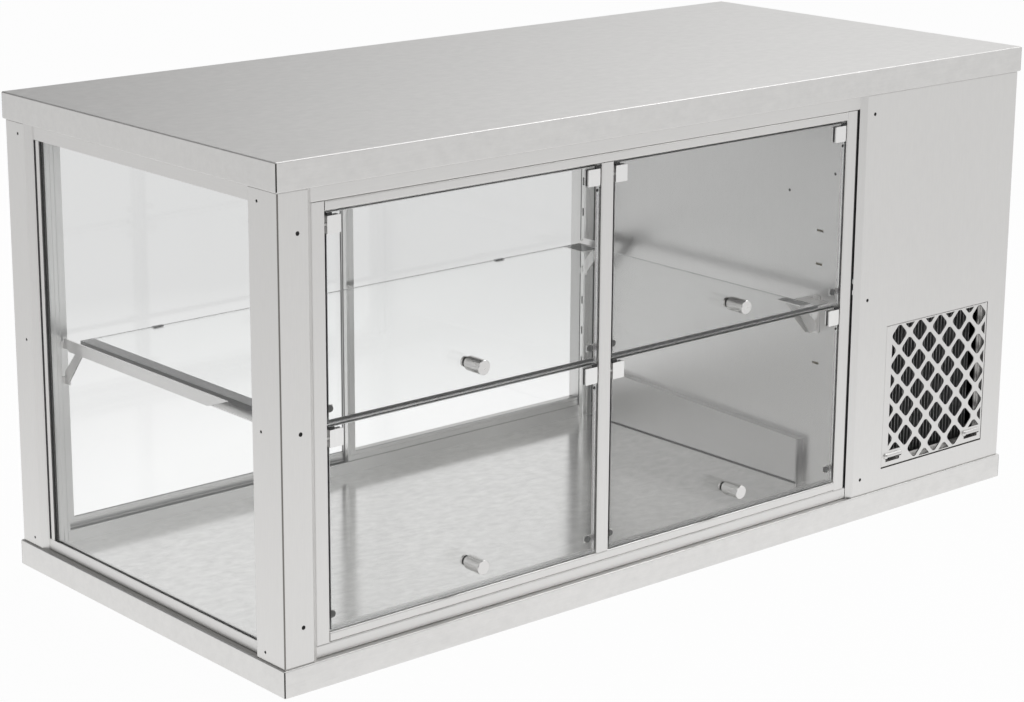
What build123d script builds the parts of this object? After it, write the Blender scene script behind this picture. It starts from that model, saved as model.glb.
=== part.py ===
"""Countertop refrigerated display case.

A stainless case stands on a folded base pan under a folded top panel. The display chamber has one glass
side, four top-hung glass flaps in front and two sliding glass doors at the rear. A machine compartment on
the right holds the condensing unit behind a lift-off grille.

Millimetres. The origin is the centre of the base underside, +X to the right along the front, +Y to the
rear and +Z up.
"""
import os

from build123d import *

os.makedirs("parts", exist_ok=True)

# Overall case
LENGTH = 1200.0
DEPTH = 550.0
HEIGHT = 590.0
BASE_HEIGHT = 32.0
TOP_THICKNESS = 32.5
SHEET = 1.5
BEND = 2.0
PAN_EDGE = 1.6
SEAM_RADIUS = 0.8
SEAM_RELIEF = 1.5
GAP = 0.3
RUNNING_FIT = 0.05
GLASS = 6.0

# Faces between base and top
COVER_INSET = 2.5
FRAME_SET_BACK = 5.5
STEP_WIDTH = 8.0
REVEAL_HEIGHT = 1.2
REVEAL_DEPTH = 0.8

# Posts
POST_FRONT_WIDTH = 39.0
FRONT_POST_SIDE_WIDTH = 51.5
REAR_POST_SIDE_WIDTH = 41.5
FRONT_HOLE_DIAMETER = 5.0
FRONT_HOLE_INSET = 25.5
FRONT_HOLE_ENDS = (43.5, 46.0)
SIDE_HOLE_DIAMETER = 3.5
FRONT_POST_HOLE_INSET = 36.1
REAR_POST_HOLE_INSET = 27.5
SIDE_HOLE_ENDS = (10.4, 14.0)
SIDE_FLANGE = 3.7

# Side glazing
SILL_HEIGHT = 14.5
SIDE_RAIL_HEIGHT = 18.0
SIDE_CHANNEL_DEPTH = 13.0
SIDE_GLASS_INSET = 2.0
SIDE_GLASS_SET_BACK = 34.5
REAR_SEAL = 3.0
SIDE_STILE_WIDTH = 6.7
SIDE_STILE_DEPTH = 6.0
SIDE_LIP_DROP = 1.5
GLASS_PAD = 2.0

# Front frame
RAIL_DEPTH = 20.0
STILE_DEPTH = 13.0
TOP_RAIL_HEIGHT = 18.0
BOTTOM_RAIL_HEIGHT = 14.8
HEAD_HEIGHT = 10.9
FRAME_SILL_HEIGHT = 11.2
STILE_WIDTH = 18.5
MULLION_WIDTH = 19.0
STILE_SEAM = 3.5
SEAM_STRIP_SET_BACK = 3.0

# Flaps
FLAP_SIDE_GAP = 2.75
FLAP_TOP_GAP = 2.0
FLAP_BOTTOM_GAP = 2.0
FLAP_MIDDLE_GAP = 2.5
FLAP_INSET = 2.0
FLAP_SPLIT_HEIGHT = 293.05
CLIP_WIDTH = 18.0
CLIP_HEIGHT = 19.7
CLIP_CHEEK = 2.0
CLIP_BELOW_TOP = 3.7
CLIP_NOTCH = 2.0
PIN_DIAMETER = 4.0
PIN_BEYOND_RETURN = 2.0
KNOB_DIAMETER = 17.0
KNOB_LENGTH = 25.5
KNOB_NECK_DIAMETER = 13.0
KNOB_NECK_LENGTH = 2.5
KNOB_CHAMFER = 0.6
KNOB_HEIGHT = 34.0
KNOB_STEM_DIAMETER = 6.0
KNOB_NUT_DIAMETER = 12.0
KNOB_NUT_LENGTH = 3.0
BUMPER_DIAMETER = 8.0
BUMPER_LENGTH = 2.4
BUMPER_INSET = 8.5
BUMPER_HEIGHT = 15.5
STOP_TAB_LENGTH = 13.0
STOP_TAB_HEIGHT = 8.0

# Display chamber
FLOOR_HEIGHT = 36.5
WALL_GAP = 1.0
BULKHEAD_THICKNESS = 19.0
WINDOW_MARGIN = 9.0
SLOT_PITCH = 43.7
SLOT_LENGTH = 11.0
SLOT_WIDTH = 3.0
WALL_SLOT_INSET = 37.0
WALL_SLOT_STEPS = (-2, -1, 0, 1, 2)
HOOK_POCKET_DEPTH = 8.0
WALL_HOLE_PLACES = ((95.7, 137.5), (18.7, 104.5))
WALL_HOLE_DIAMETER = 4.0
WALL_COVER_FRONT_MARGIN = 56.7
WALL_COVER_REAR_MARGIN = 4.0
WALL_COVER_FRONT_HEIGHT = 59.5
WALL_COVER_REAR_HEIGHT = 73.5
WALL_COVER_THICKNESS = 12.0

# Rear uprights, tracks and service doors
UPRIGHT_WIDTH = 17.5
UPRIGHT_DEPTH = 7.5
LEFT_UPRIGHT_INSET = 6.5
RIGHT_UPRIGHT_GAP = 8.0
UPRIGHT_SLOT_STEPS = (-4, -3, -2, -1, 0, 1, 2, 3, 4)
UPRIGHT_SLOT_SET_BACK = 4.2
RIB_WIDTH = 1.0
RIB_DEPTH = 0.6
RIB_INSET = 3.0
INNER_RIB_INSET = 7.2
TRACK_REAR_MARGIN = 17.1
TRACK_LIP_HEIGHT = 15.0
TRACK_LIP = 1.2
DOOR_THICKNESS = 6.5
DOOR_CLEARANCE = 0.7
DOOR_STILE = 12.0
DOOR_BOTTOM_RAIL = 24.8
DOOR_TOP_RAIL = 20.0
DOOR_GLASS = 4.0
DOOR_GLASS_GROOVE = 6.0
DOOR_OVERLAP = 12.0
DOOR_END_GAP = 0.5
DOOR_LIFT = 0.3
DOOR_HEAD_ROOM = 3.0
SEAL_THICKNESS = 1.0
DOOR_GASKET = (7.0, 4.0)
PULL_LENGTH = 90.0
PULL_WIDTH = 6.0
PULL_DEPTH = 2.5
JAMB_WIDTH = 24.0
REAR_RAIL_DEPTH = 15.0
REAR_BOTTOM_RAIL_HEIGHT = 18.0
REAR_TOP_RAIL_HEIGHT = 30.0

# Shelf
SHELF_TOP = 292.0
SHELF_LEFT_MARGIN = 33.5
SHELF_RIGHT_MARGIN = 40.0
SHELF_FRONT_MARGIN = 4.0
SHELF_REAR_MARGIN = 5.5
STOP_INSETS = (108.5, 150.0)
STOP_WIDTH = 14.0
STOP_REACH = 6.0
STOP_SHEET = 0.6
BRACKET_SHEET = 1.5
BRACKET_SIDE_GAP = 3.0
BRACKET_FLANGE = 40.0
BRACKET_WEB_RISE = 5.0
BRACKET_WEB_DROP = 9.5
BRACKET_TOP_RUN = 340.7
BRACKET_BOTTOM_RUN = 300.7
REAR_BRACKET_RUN = 42.7
LEG_WIDTH = 10.0
LEG_RUN = 30.0
LEG_DROP = 46.0
HOOK_DROP = 3.5
HOOK_HEIGHT = 8.0
HOOK_DEPTH = 4.0
HOOK_THICKNESS = 2.4
WALL_BRACKET_REACH = 54.0
WALL_BRACKET_DEPTH = 40.0
WALL_BRACKET_FOOT = 18.0
WALL_LEG_ANGLE = 12.0

# Machine compartment
MACHINE_WIDTH = 299.5
COVER_RETURN = 25.0
COVER_SEAM = 0.5
COVER_HOLE_DIAMETER = 4.5
COVER_HOLE_INSET = 22.0
COVER_HOLE_ENDS = (21.5, 24.9)
GRILLE_INSET = 62.3
GRILLE_WIDTH = 200.0
GRILLE_BOTTOM = 61.5
GRILLE_HEIGHT = 190.0
GRILLE_GAP = 0.6
GRILLE_BOTTOM_GAP = 1.6
GRILLE_RETURN = 10.0
GRILLE_SEAT = 6.0
DIAMOND_DIAGONAL = 31.4
DIAMOND_PITCH = 19.85
DIAMOND_CORNER = 5.2
DIAMOND_SHIFT = (4.3, 0.75)
DIAMOND_SIDE_MARGINS = (11.3, 3.0)
DIAMOND_END_MARGINS = (1.6, 1.7)
DIAMOND_LEAST_AREA = 6.0
SCOOP_WIDTH = 35.0
SCOOP_RADIUS = 4.0
SCOOP_HEIGHT = 14.0
SCOOP_CLEARANCE = 2.8
SCOOP_MOUTH_DROP = 4.0
SCOOP_INSET = 4.0
VENT_COUNT = 9
VENT_PITCH = 16.0
VENT_SLOT = 7.0
VENT_LENGTH = 150.0
VENT_HEIGHT = 58.0

# Condensing unit
CONDENSER_INSET = 42.0
CONDENSER_WIDTH = 208.0
CONDENSER_LIFT = 16.0
CONDENSER_HEIGHT = 216.0
CONDENSER_SET_BACK = 18.5
CONDENSER_DEPTH = 44.0
CONDENSER_FIN_PITCH = 6.5
FIN_SHEET = 0.8
COIL_TUBE_DIAMETER = 9.0
CONDENSER_TUBE_ROWS = 6
SHROUD_DEPTH = 26.0
FAN_DIAMETER = 172.0
FAN_OPENING_CLEARANCE = 4.0
FAN_BLADES = 5
FAN_HUB_DIAMETER = 44.0
FAN_DEPTH = 20.0
FAN_SHAFT_DIAMETER = 6.0
MOTOR_DIAMETER = 78.0
MOTOR_LENGTH = 52.0
MOTOR_ARM_WIDTH = 14.0
COMPRESSOR_INSET = 142.0
COMPRESSOR_REAR_SPACE = 162.5
COMPRESSOR_DIAMETER = 150.0
COMPRESSOR_HEIGHT = 172.0
COMPRESSOR_WALL = 12.0
COMPRESSOR_FOOT_HEIGHT = 14.0
COMPRESSOR_FOOT_SPACING = (170.0, 110.0)
PIPE_DIAMETER = 8.0
DRIER_DIAMETER = 22.0
DRIER_LENGTH = 90.0
PIPE_PASS_INSET = 100.0

# Evaporator
EVAPORATOR_LEFT_MARGIN = 149.0
EVAPORATOR_RIGHT_MARGIN = 71.0
EVAPORATOR_REAR_MARGIN = 58.0
EVAPORATOR_DEPTH = 190.0
EVAPORATOR_DROP = 53.0
EVAPORATOR_HEIGHT = 40.0
EVAPORATOR_TUBE_HEIGHTS = (9.0, 31.0)
EVAPORATOR_FIN_PITCH = 16.0
EVAPORATOR_TUBE_ROWS = 4
TRAY_MARGIN = 12.0
TRAY_HEIGHT = 12.0
TRAY_DROP = 14.0
HANGER_WIDTH = 16.0

# Controls on the rear cover
PANEL_INSET = 52.0
PANEL_WIDTH = 160.0
PANEL_TOP_MARGIN = 43.5
PANEL_HEIGHT = 110.0
PANEL_RECESS = 20.0
CONTROL_HEIGHT = 36.0
DIAL_INSET = 42.0
DIAL_DIAMETER = 38.0
DIAL_LENGTH = 14.0
DIAL_SHAFT_DIAMETER = 6.0
SWITCH_INSET = 90.0
SWITCH_WIDTH = 15.0
SWITCH_HEIGHT = 26.0
SWITCH_FRAME = 3.0
ROCKER_PIN_DIAMETER = 3.0
ROCKER_PIN_REACH = 2.0
INLET_INSET = 132.0
INLET_WIDTH = 27.0
INLET_HEIGHT = 20.0
INLET_DEPTH = 18.0
ELECTRICS_DEPTH = 62.0

# Places that follow from the sizes above
X_LEFT = -LENGTH / 2 + COVER_INSET
X_RIGHT = LENGTH / 2 - COVER_INSET
Y_FRONT = -DEPTH / 2 + COVER_INSET
Y_REAR = DEPTH / 2 - COVER_INSET
X_SIDE = X_LEFT + FRAME_SET_BACK
Y_FRAME = Y_FRONT + FRAME_SET_BACK
Y_REAR_FRAME = Y_REAR - FRAME_SET_BACK
Z_BASE = BASE_HEIGHT
Z_TOP = HEIGHT - TOP_THICKNESS
MACHINE_X = X_RIGHT - MACHINE_WIDTH
BULKHEAD_X = MACHINE_X - WALL_GAP
PARTITION_X = BULKHEAD_X + BULKHEAD_THICKNESS
FRAME_LEFT = X_LEFT + POST_FRONT_WIDTH + STEP_WIDTH
FRAME_RIGHT = MACHINE_X - STILE_SEAM
FRAME_BACK = Y_FRAME + RAIL_DEPTH
STILE_BACK = Y_FRAME + STILE_DEPTH
OPENING_WIDTH = (FRAME_RIGHT - FRAME_LEFT - 2 * STILE_WIDTH - MULLION_WIDTH) / 2
OPENING_STARTS = (
    FRAME_LEFT + STILE_WIDTH,
    FRAME_LEFT + STILE_WIDTH + OPENING_WIDTH + MULLION_WIDTH,
)
FRAME_BOTTOM = Z_BASE + BOTTOM_RAIL_HEIGHT
FRAME_TOP = Z_TOP - TOP_RAIL_HEIGHT
OPENING_BOTTOM = FRAME_BOTTOM + FRAME_SILL_HEIGHT
OPENING_TOP = FRAME_TOP - HEAD_HEIGHT
FLAP_FRONT = Y_FRAME + FLAP_INSET
FLAP_MIDDLE = FLAP_FRONT + GLASS / 2
FLAP_BACK = FLAP_FRONT + GLASS
UPPER_FLAP_SPAN = (FLAP_SPLIT_HEIGHT + FLAP_MIDDLE_GAP / 2, OPENING_TOP - FLAP_TOP_GAP)
LOWER_FLAP_SPAN = (OPENING_BOTTOM + FLAP_BOTTOM_GAP, FLAP_SPLIT_HEIGHT - FLAP_MIDDLE_GAP / 2)
CHANNEL_INNER_X = X_SIDE + SIDE_CHANNEL_DEPTH
SIDE_GLASS_X = X_SIDE + SIDE_GLASS_INSET
LINING_BOTTOM = FLOOR_HEIGHT - SHEET
CEILING = Z_TOP - SHEET
FLOOR_REAR = Y_REAR_FRAME - REAR_RAIL_DEPTH
BULKHEAD_FRONT = FRAME_BACK + GAP
TRACK_BACK = FLOOR_REAR - TRACK_REAR_MARGIN
TRACK_FRONT = TRACK_BACK - 3 * TRACK_LIP - 4 * DOOR_CLEARANCE - 2 * DOOR_THICKNESS
UPRIGHT_Y = TRACK_FRONT - UPRIGHT_DEPTH
LEFT_UPRIGHT_X = X_SIDE + LEFT_UPRIGHT_INSET
RIGHT_UPRIGHT_X = BULKHEAD_X - RIGHT_UPRIGHT_GAP - UPRIGHT_WIDTH
BRACKET_FOOT = UPRIGHT_Y - GAP
SIDE_GLASS_SPAN = (Y_FRONT + SIDE_GLASS_SET_BACK, UPRIGHT_Y - REAR_SEAL)
TRACK_CENTRES = (
    TRACK_FRONT + TRACK_LIP + DOOR_CLEARANCE + DOOR_THICKNESS / 2,
    TRACK_FRONT + 2 * TRACK_LIP + 3 * DOOR_CLEARANCE + DOOR_THICKNESS * 1.5,
)
TRACK_LEFT = LEFT_UPRIGHT_X + JAMB_WIDTH
TRACK_RIGHT = BULKHEAD_X - SEAL_THICKNESS
DOOR_WIDTH = (TRACK_RIGHT - TRACK_LEFT - 2 * DOOR_END_GAP + DOOR_OVERLAP) / 2
DOOR_BOTTOM = FLOOR_HEIGHT + TRACK_LIP + DOOR_LIFT
DOOR_TOP = CEILING - TRACK_LIP - DOOR_LIFT - DOOR_HEAD_ROOM
SHELF_LEFT = CHANNEL_INNER_X + SHELF_LEFT_MARGIN
SHELF_RIGHT = BULKHEAD_X - SHELF_RIGHT_MARGIN
SHELF_FRONT = FRAME_BACK + SHELF_FRONT_MARGIN
SHELF_REAR = UPRIGHT_Y - SHELF_REAR_MARGIN
SHELF_BOTTOM = SHELF_TOP - GLASS
BRACKET_WEB_TOP = SHELF_TOP + BRACKET_WEB_RISE
BRACKET_WEB_BOTTOM = SHELF_TOP - BRACKET_WEB_DROP
HOOK_HEIGHTS = (SHELF_TOP - HOOK_DROP, SHELF_TOP - HOOK_DROP - SLOT_PITCH)
WALL_SLOT_Y = SHELF_FRONT + WALL_SLOT_INSET
GRILLE_LEFT = MACHINE_X + GRILLE_INSET
CONDENSER_LEFT = MACHINE_X + CONDENSER_INSET
CONDENSER_BOTTOM = Z_BASE + CONDENSER_LIFT
CONDENSER_FRONT = Y_FRONT + CONDENSER_SET_BACK
COMPRESSOR_X = MACHINE_X + COMPRESSOR_INSET
COMPRESSOR_Y = Y_REAR - COMPRESSOR_REAR_SPACE
EVAPORATOR_LEFT = CHANNEL_INNER_X + EVAPORATOR_LEFT_MARGIN
EVAPORATOR_RIGHT = BULKHEAD_X - EVAPORATOR_RIGHT_MARGIN
EVAPORATOR_FRONT = UPRIGHT_Y - EVAPORATOR_REAR_MARGIN - EVAPORATOR_DEPTH
EVAPORATOR_BOTTOM = CEILING - EVAPORATOR_DROP
TRAY_BOTTOM = EVAPORATOR_BOTTOM - TRAY_DROP
PIPE_PASS_Y = EVAPORATOR_FRONT + PIPE_PASS_INSET
PIPE_PASS_HEIGHTS = tuple(EVAPORATOR_BOTTOM + height for height in EVAPORATOR_TUBE_HEIGHTS)
PANEL_LEFT = MACHINE_X + PANEL_INSET
PANEL_BOTTOM = Z_TOP - PANEL_TOP_MARGIN - PANEL_HEIGHT
CONTROL_Z = PANEL_BOTTOM + CONTROL_HEIGHT
DIAL_X = PANEL_LEFT + DIAL_INSET
SWITCH_X = PANEL_LEFT + SWITCH_INSET
INLET_X = PANEL_LEFT + INLET_INSET


def block(x_span, y_span, z_span):
    """Box between two opposite corners, given as one span for each axis."""
    centre = [(span[0] + span[1]) / 2 for span in (x_span, y_span, z_span)]
    size = [abs(span[1] - span[0]) for span in (x_span, y_span, z_span)]
    return Pos(*centre) * Box(*size)


def rod(start, direction, diameter, length):
    """Round bar that starts at a point and runs along a direction."""
    align = (Align.CENTER, Align.CENTER, Align.MIN)
    return Plane(origin=start, z_dir=direction) * Cylinder(diameter / 2, length, align=align)


def along_x(face, x_span):
    """Carry a Y-Z profile along X."""
    return extrude(Plane.YZ.offset(x_span[0]) * face, amount=x_span[1] - x_span[0])


def along_y(face, y_span):
    """Carry an X-Z profile along Y."""
    return extrude(Plane.XZ.offset(-y_span[1]) * face, amount=y_span[1] - y_span[0])


def along_z(face, z_span):
    """Carry an X-Y profile along Z."""
    return extrude(Plane.XY.offset(z_span[0]) * face, amount=z_span[1] - z_span[0])


def folded(*points, thickness=SHEET):
    """Section of a folded sheet whose outer face follows the points and whose metal is on their left."""
    path = FilletPolyline(*points, radius=BEND)
    return make_face(offset(path, amount=thickness, side=Side.LEFT))


def polygon(*points):
    """Flat face through the points."""
    return make_face(Polyline(*points, close=True))


def save(shape, node, label=None):
    """Write one node of the assembly."""
    shape.label = label or node
    export_step(shape, f"parts/{node}.step")


def group(solids):
    """Several separate solids that share one node."""
    return Compound(children=list(solids))


def hole_heights(ends):
    """Three screw heights: above the base, halfway, and below the top."""
    low, high = Z_BASE + ends[0], Z_TOP - ends[1]
    return low, (low + high) / 2, high


def slot_heights(steps):
    """Heights of the bracket slots, counted from the one that carries the shelf."""
    return [HOOK_HEIGHTS[0] + step * SLOT_PITCH for step in steps]


# Base, top and insulation
def window_spans():
    """Hole in the base deck and in the top panel over the display chamber."""
    x_span = (CHANNEL_INNER_X + WINDOW_MARGIN, BULKHEAD_X - WINDOW_MARGIN)
    y_span = (FRAME_BACK + WINDOW_MARGIN, FLOOR_REAR - WINDOW_MARGIN)
    return x_span, y_span


def hollow_pan(z_span):
    """Closed folded pan with rounded long edges and a relieved seam down each corner."""
    half_x, half_y = LENGTH / 2, DEPTH / 2
    pan = block((-half_x, half_x), (-half_y, half_y), z_span)
    long_edges = pan.edges().filter_by(Axis.X) + pan.edges().filter_by(Axis.Y)
    pan = fillet(long_edges, PAN_EDGE)
    pan -= block(
        (-half_x + SHEET, half_x - SHEET),
        (-half_y + SHEET, half_y - SHEET),
        (z_span[0] + SHEET, z_span[1] - SHEET),
    )
    for x in (-half_x, half_x):
        for y in (-half_y, half_y):
            pan -= rod((x, y, z_span[0]), (0, 0, 1), 2 * SEAM_RADIUS, z_span[1] - z_span[0])
            for z in z_span:
                pan -= Pos(x, y, z) * Sphere(SEAM_RELIEF)
    return pan


def base_pan():
    """Base pan, open under the display floor and closed as a deck under the machine."""
    x_span, y_span = window_spans()
    return hollow_pan((0, BASE_HEIGHT)) - block(x_span, y_span, (Z_BASE - SHEET, Z_BASE))


def top_panel():
    """Top panel, open above the ceiling liner."""
    x_span, y_span = window_spans()
    return hollow_pan((Z_TOP, HEIGHT)) - block(x_span, y_span, (Z_TOP, Z_TOP + SHEET))


def insulation_boards():
    """Foam in the base, the top and the bulkhead."""
    x_span, y_span = window_spans()
    inside_x = (-LENGTH / 2 + SHEET, PARTITION_X)
    inside_y = (-DEPTH / 2 + SHEET, DEPTH / 2 - SHEET)
    base = block(inside_x, inside_y, (SHEET, Z_BASE - SHEET))
    base += block(x_span, y_span, (Z_BASE - SHEET, LINING_BOTTOM))
    top = block(inside_x, inside_y, (Z_TOP + SHEET, HEIGHT - SHEET))
    top += block(x_span, y_span, (Z_TOP, Z_TOP + SHEET))
    wall_x = (BULKHEAD_X + SHEET, PARTITION_X)
    wall = block(wall_x, (BULKHEAD_FRONT, FLOOR_REAR), (Z_BASE, Z_TOP))
    for z in slot_heights(WALL_SLOT_STEPS):
        half = SLOT_LENGTH / 2 + GAP
        wall -= block(
            (wall_x[0], wall_x[0] + HOOK_POCKET_DEPTH),
            (WALL_SLOT_Y - half, WALL_SLOT_Y + half),
            (z - SLOT_WIDTH, z + SLOT_WIDTH),
        )
    for z in PIPE_PASS_HEIGHTS:
        wall -= rod((wall_x[0], PIPE_PASS_Y, z), (1, 0, 0), PIPE_DIAMETER + 2 * GAP, BULKHEAD_THICKNESS)
    return group([base, top, wall])


def lining_pan(z_sheet, z_skirt):
    """Flat sheet with a skirt that reaches the pan it closes."""
    x_span = (CHANNEL_INNER_X, BULKHEAD_X)
    y_span = (FRAME_BACK, FLOOR_REAR)
    pan = block(x_span, y_span, z_sheet)
    if z_skirt:
        ring = block(x_span, y_span, z_skirt)
        ring -= block(
            (x_span[0] + SHEET, x_span[1] - SHEET), (y_span[0] + SHEET, y_span[1] - SHEET), z_skirt
        )
        pan += ring
    return pan


def display_floor():
    """Floor of the display chamber."""
    return lining_pan((LINING_BOTTOM, FLOOR_HEIGHT), (Z_BASE, LINING_BOTTOM))


def ceiling_liner():
    """Ceiling of the display chamber."""
    return lining_pan((CEILING, Z_TOP), None)


# Posts and side glazing
def reveal(x_span, y_span):
    """Shallow grooves around a post or a cover, just above the base and just below the top."""
    low = block(x_span, y_span, (Z_BASE, Z_BASE + REVEAL_HEIGHT))
    high = block(x_span, y_span, (Z_TOP - REVEAL_HEIGHT, Z_TOP))
    return low + high


def front_left_post():
    """Folded corner post whose two free edges step back to the frame faces."""
    section = folded(
        (X_SIDE, Y_FRONT + FRONT_POST_SIDE_WIDTH + STEP_WIDTH),
        (X_LEFT, Y_FRONT + FRONT_POST_SIDE_WIDTH),
        (X_LEFT, Y_FRONT),
        (X_LEFT + POST_FRONT_WIDTH, Y_FRONT),
        (FRAME_LEFT, Y_FRAME),
    )
    post = along_z(section, (Z_BASE, Z_TOP))
    for z in hole_heights(FRONT_HOLE_ENDS):
        post -= rod((X_LEFT + FRONT_HOLE_INSET, Y_FRONT - 1, z), (0, 1, 0), FRONT_HOLE_DIAMETER, 5)
    for z in hole_heights(SIDE_HOLE_ENDS):
        post -= rod((X_LEFT - 1, Y_FRONT + FRONT_POST_HOLE_INSET, z), (1, 0, 0), SIDE_HOLE_DIAMETER, 5)
    post -= reveal((X_LEFT, X_LEFT + REVEAL_DEPTH), (Y_FRONT, Y_FRONT + FRONT_POST_SIDE_WIDTH))
    post -= reveal((X_LEFT, X_LEFT + POST_FRONT_WIDTH), (Y_FRONT, Y_FRONT + REVEAL_DEPTH))
    return post


def rear_left_post():
    """Folded rear corner post."""
    section = folded(
        (FRAME_LEFT, Y_REAR_FRAME),
        (X_LEFT + POST_FRONT_WIDTH, Y_REAR),
        (X_LEFT, Y_REAR),
        (X_LEFT, Y_REAR - REAR_POST_SIDE_WIDTH),
        (X_SIDE, Y_REAR - REAR_POST_SIDE_WIDTH - STEP_WIDTH),
        (X_SIDE, Y_REAR - REAR_POST_SIDE_WIDTH - STEP_WIDTH - SIDE_FLANGE),
    )
    post = along_z(section, (Z_BASE, Z_TOP))
    for z in hole_heights(FRONT_HOLE_ENDS):
        post -= rod((X_LEFT + FRONT_HOLE_INSET, Y_REAR + 1, z), (0, -1, 0), FRONT_HOLE_DIAMETER, 5)
    for z in hole_heights(SIDE_HOLE_ENDS):
        post -= rod((X_LEFT - 1, Y_REAR - REAR_POST_HOLE_INSET, z), (1, 0, 0), SIDE_HOLE_DIAMETER, 5)
    post -= reveal((X_LEFT, X_LEFT + REVEAL_DEPTH), (Y_REAR - REAR_POST_SIDE_WIDTH, Y_REAR))
    post -= reveal((X_LEFT, X_LEFT + POST_FRONT_WIDTH), (Y_REAR - REVEAL_DEPTH, Y_REAR))
    return post


def side_rail_span():
    """Length of the side rails between the two left posts."""
    return (
        Y_FRONT + FRONT_POST_SIDE_WIDTH + STEP_WIDTH,
        Y_REAR - REAR_POST_SIDE_WIDTH - STEP_WIDTH - SIDE_FLANGE - GAP,
    )


def cleared_for_upright(rail):
    """Cut the inner parts of a side rail away where the rear upright and its jamb stand."""
    x_span = (X_SIDE + SHEET, CHANNEL_INNER_X + SHEET)
    return rail - block(x_span, (UPRIGHT_Y - GAP, Y_REAR), (0, HEIGHT))


def side_sill():
    """Channel under the side glass."""
    section = folded(
        (X_SIDE, Z_BASE + SILL_HEIGHT),
        (X_SIDE, Z_BASE),
        (CHANNEL_INNER_X, Z_BASE),
        (CHANNEL_INNER_X, Z_BASE + SILL_HEIGHT - SIDE_LIP_DROP),
    )
    return cleared_for_upright(along_y(section, side_rail_span()))


def side_top_rail():
    """Channel above the side glass."""
    section = folded(
        (CHANNEL_INNER_X, Z_TOP - SIDE_RAIL_HEIGHT + SIDE_LIP_DROP),
        (CHANNEL_INNER_X, Z_TOP),
        (X_SIDE, Z_TOP),
        (X_SIDE, Z_TOP - SIDE_RAIL_HEIGHT),
    )
    return cleared_for_upright(along_y(section, side_rail_span()))


def side_stile_spans():
    """Outline of the small upright beside the rear edge of the side glass."""
    x_span = (X_SIDE, X_SIDE + SIDE_STILE_DEPTH)
    z_span = (Z_BASE + SILL_HEIGHT + GAP, Z_TOP - SIDE_RAIL_HEIGHT - GAP)
    return x_span, (UPRIGHT_Y, UPRIGHT_Y + SIDE_STILE_WIDTH), z_span


def side_stile():
    """Small open upright between the side glass and the rear post."""
    x_span, y_span, z_span = side_stile_spans()
    stile = block(x_span, y_span, z_span)
    return stile - block((x_span[0] + SHEET, x_span[1]), (y_span[0] + SHEET, y_span[1] - SHEET), z_span)


def side_glass():
    """Fixed pane between the left posts."""
    return block(
        (SIDE_GLASS_X, SIDE_GLASS_X + GLASS),
        SIDE_GLASS_SPAN,
        (Z_BASE + SHEET + GLASS_PAD, Z_TOP - SHEET - GLASS_PAD),
    )


def glass_seals():
    """Rubber around the side glass and behind the stiles, and the strips the service doors close against."""
    y_span = (side_rail_span()[0], SIDE_GLASS_SPAN[1])
    inner = SIDE_GLASS_X + GLASS
    lip = CHANNEL_INNER_X - SHEET - (BEND - SHEET)
    low = block((SIDE_GLASS_X, lip), y_span, (Z_BASE + SHEET, Z_BASE + SHEET + GLASS_PAD))
    low += block((inner, lip), y_span, (Z_BASE + SHEET, Z_BASE + SILL_HEIGHT - SIDE_LIP_DROP))
    high = block((SIDE_GLASS_X, lip), y_span, (Z_TOP - SHEET - GLASS_PAD, Z_TOP - SHEET))
    high += block((inner, lip), y_span, (Z_TOP - SIDE_RAIL_HEIGHT + SIDE_LIP_DROP, Z_TOP - SHEET))
    rear = block(
        (SIDE_GLASS_X, inner),
        (SIDE_GLASS_SPAN[1], UPRIGHT_Y - GAP),
        (Z_BASE + SILL_HEIGHT, Z_TOP - SIDE_RAIL_HEIGHT),
    )
    stile_x, stile_y, stile_z = side_stile_spans()
    joint = block(
        (stile_x[0] + SHEET, stile_x[1]), (stile_y[1] + GAP, side_rail_span()[1]), stile_z
    )
    door_strip = block((TRACK_RIGHT, BULKHEAD_X), (TRACK_FRONT, TRACK_BACK), (FLOOR_HEIGHT, CEILING))
    gasket_front = TRACK_BACK + GAP
    door_gasket = block(
        (BULKHEAD_X - DOOR_GASKET[0], BULKHEAD_X),
        (gasket_front, gasket_front + DOOR_GASKET[1]),
        (FLOOR_HEIGHT, CEILING),
    )
    seam_strip = block(
        (FRAME_RIGHT + GAP, MACHINE_X - GAP),
        (Y_FRAME + SEAM_STRIP_SET_BACK, FRAME_BACK - GAP),
        (FRAME_BOTTOM + GAP, FRAME_TOP - GAP),
    )
    return group([low, high, rear, joint, door_strip, door_gasket, seam_strip])


# Front frame
def facing_channel(y_face, y_back, z_span):
    """Section of a channel laid along X with its web on a front or rear face."""
    if y_back > y_face:
        return folded((y_back, z_span[1]), (y_face, z_span[1]), (y_face, z_span[0]), (y_back, z_span[0]))
    return folded((y_back, z_span[0]), (y_face, z_span[0]), (y_face, z_span[1]), (y_back, z_span[1]))


def front_top_rail():
    """Strip between the top panel and the door frame."""
    return along_x(facing_channel(Y_FRAME, FRAME_BACK, (FRAME_TOP, Z_TOP)), (FRAME_LEFT, MACHINE_X))


def front_bottom_rail():
    """Strip between the base and the door frame."""
    end = MACHINE_X - 1.0
    return along_x(facing_channel(Y_FRAME, FRAME_BACK, (Z_BASE, FRAME_BOTTOM)), (FRAME_LEFT, end))


def frame_rails():
    """Head and sill of the door frame."""
    x_span = (FRAME_LEFT + STILE_WIDTH, FRAME_RIGHT - STILE_WIDTH)
    head = along_x(facing_channel(Y_FRAME, FRAME_BACK, (OPENING_TOP, FRAME_TOP)), x_span)
    sill = along_x(facing_channel(Y_FRAME, FRAME_BACK, (FRAME_BOTTOM, OPENING_BOTTOM)), x_span)
    return group([head, sill])


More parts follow.
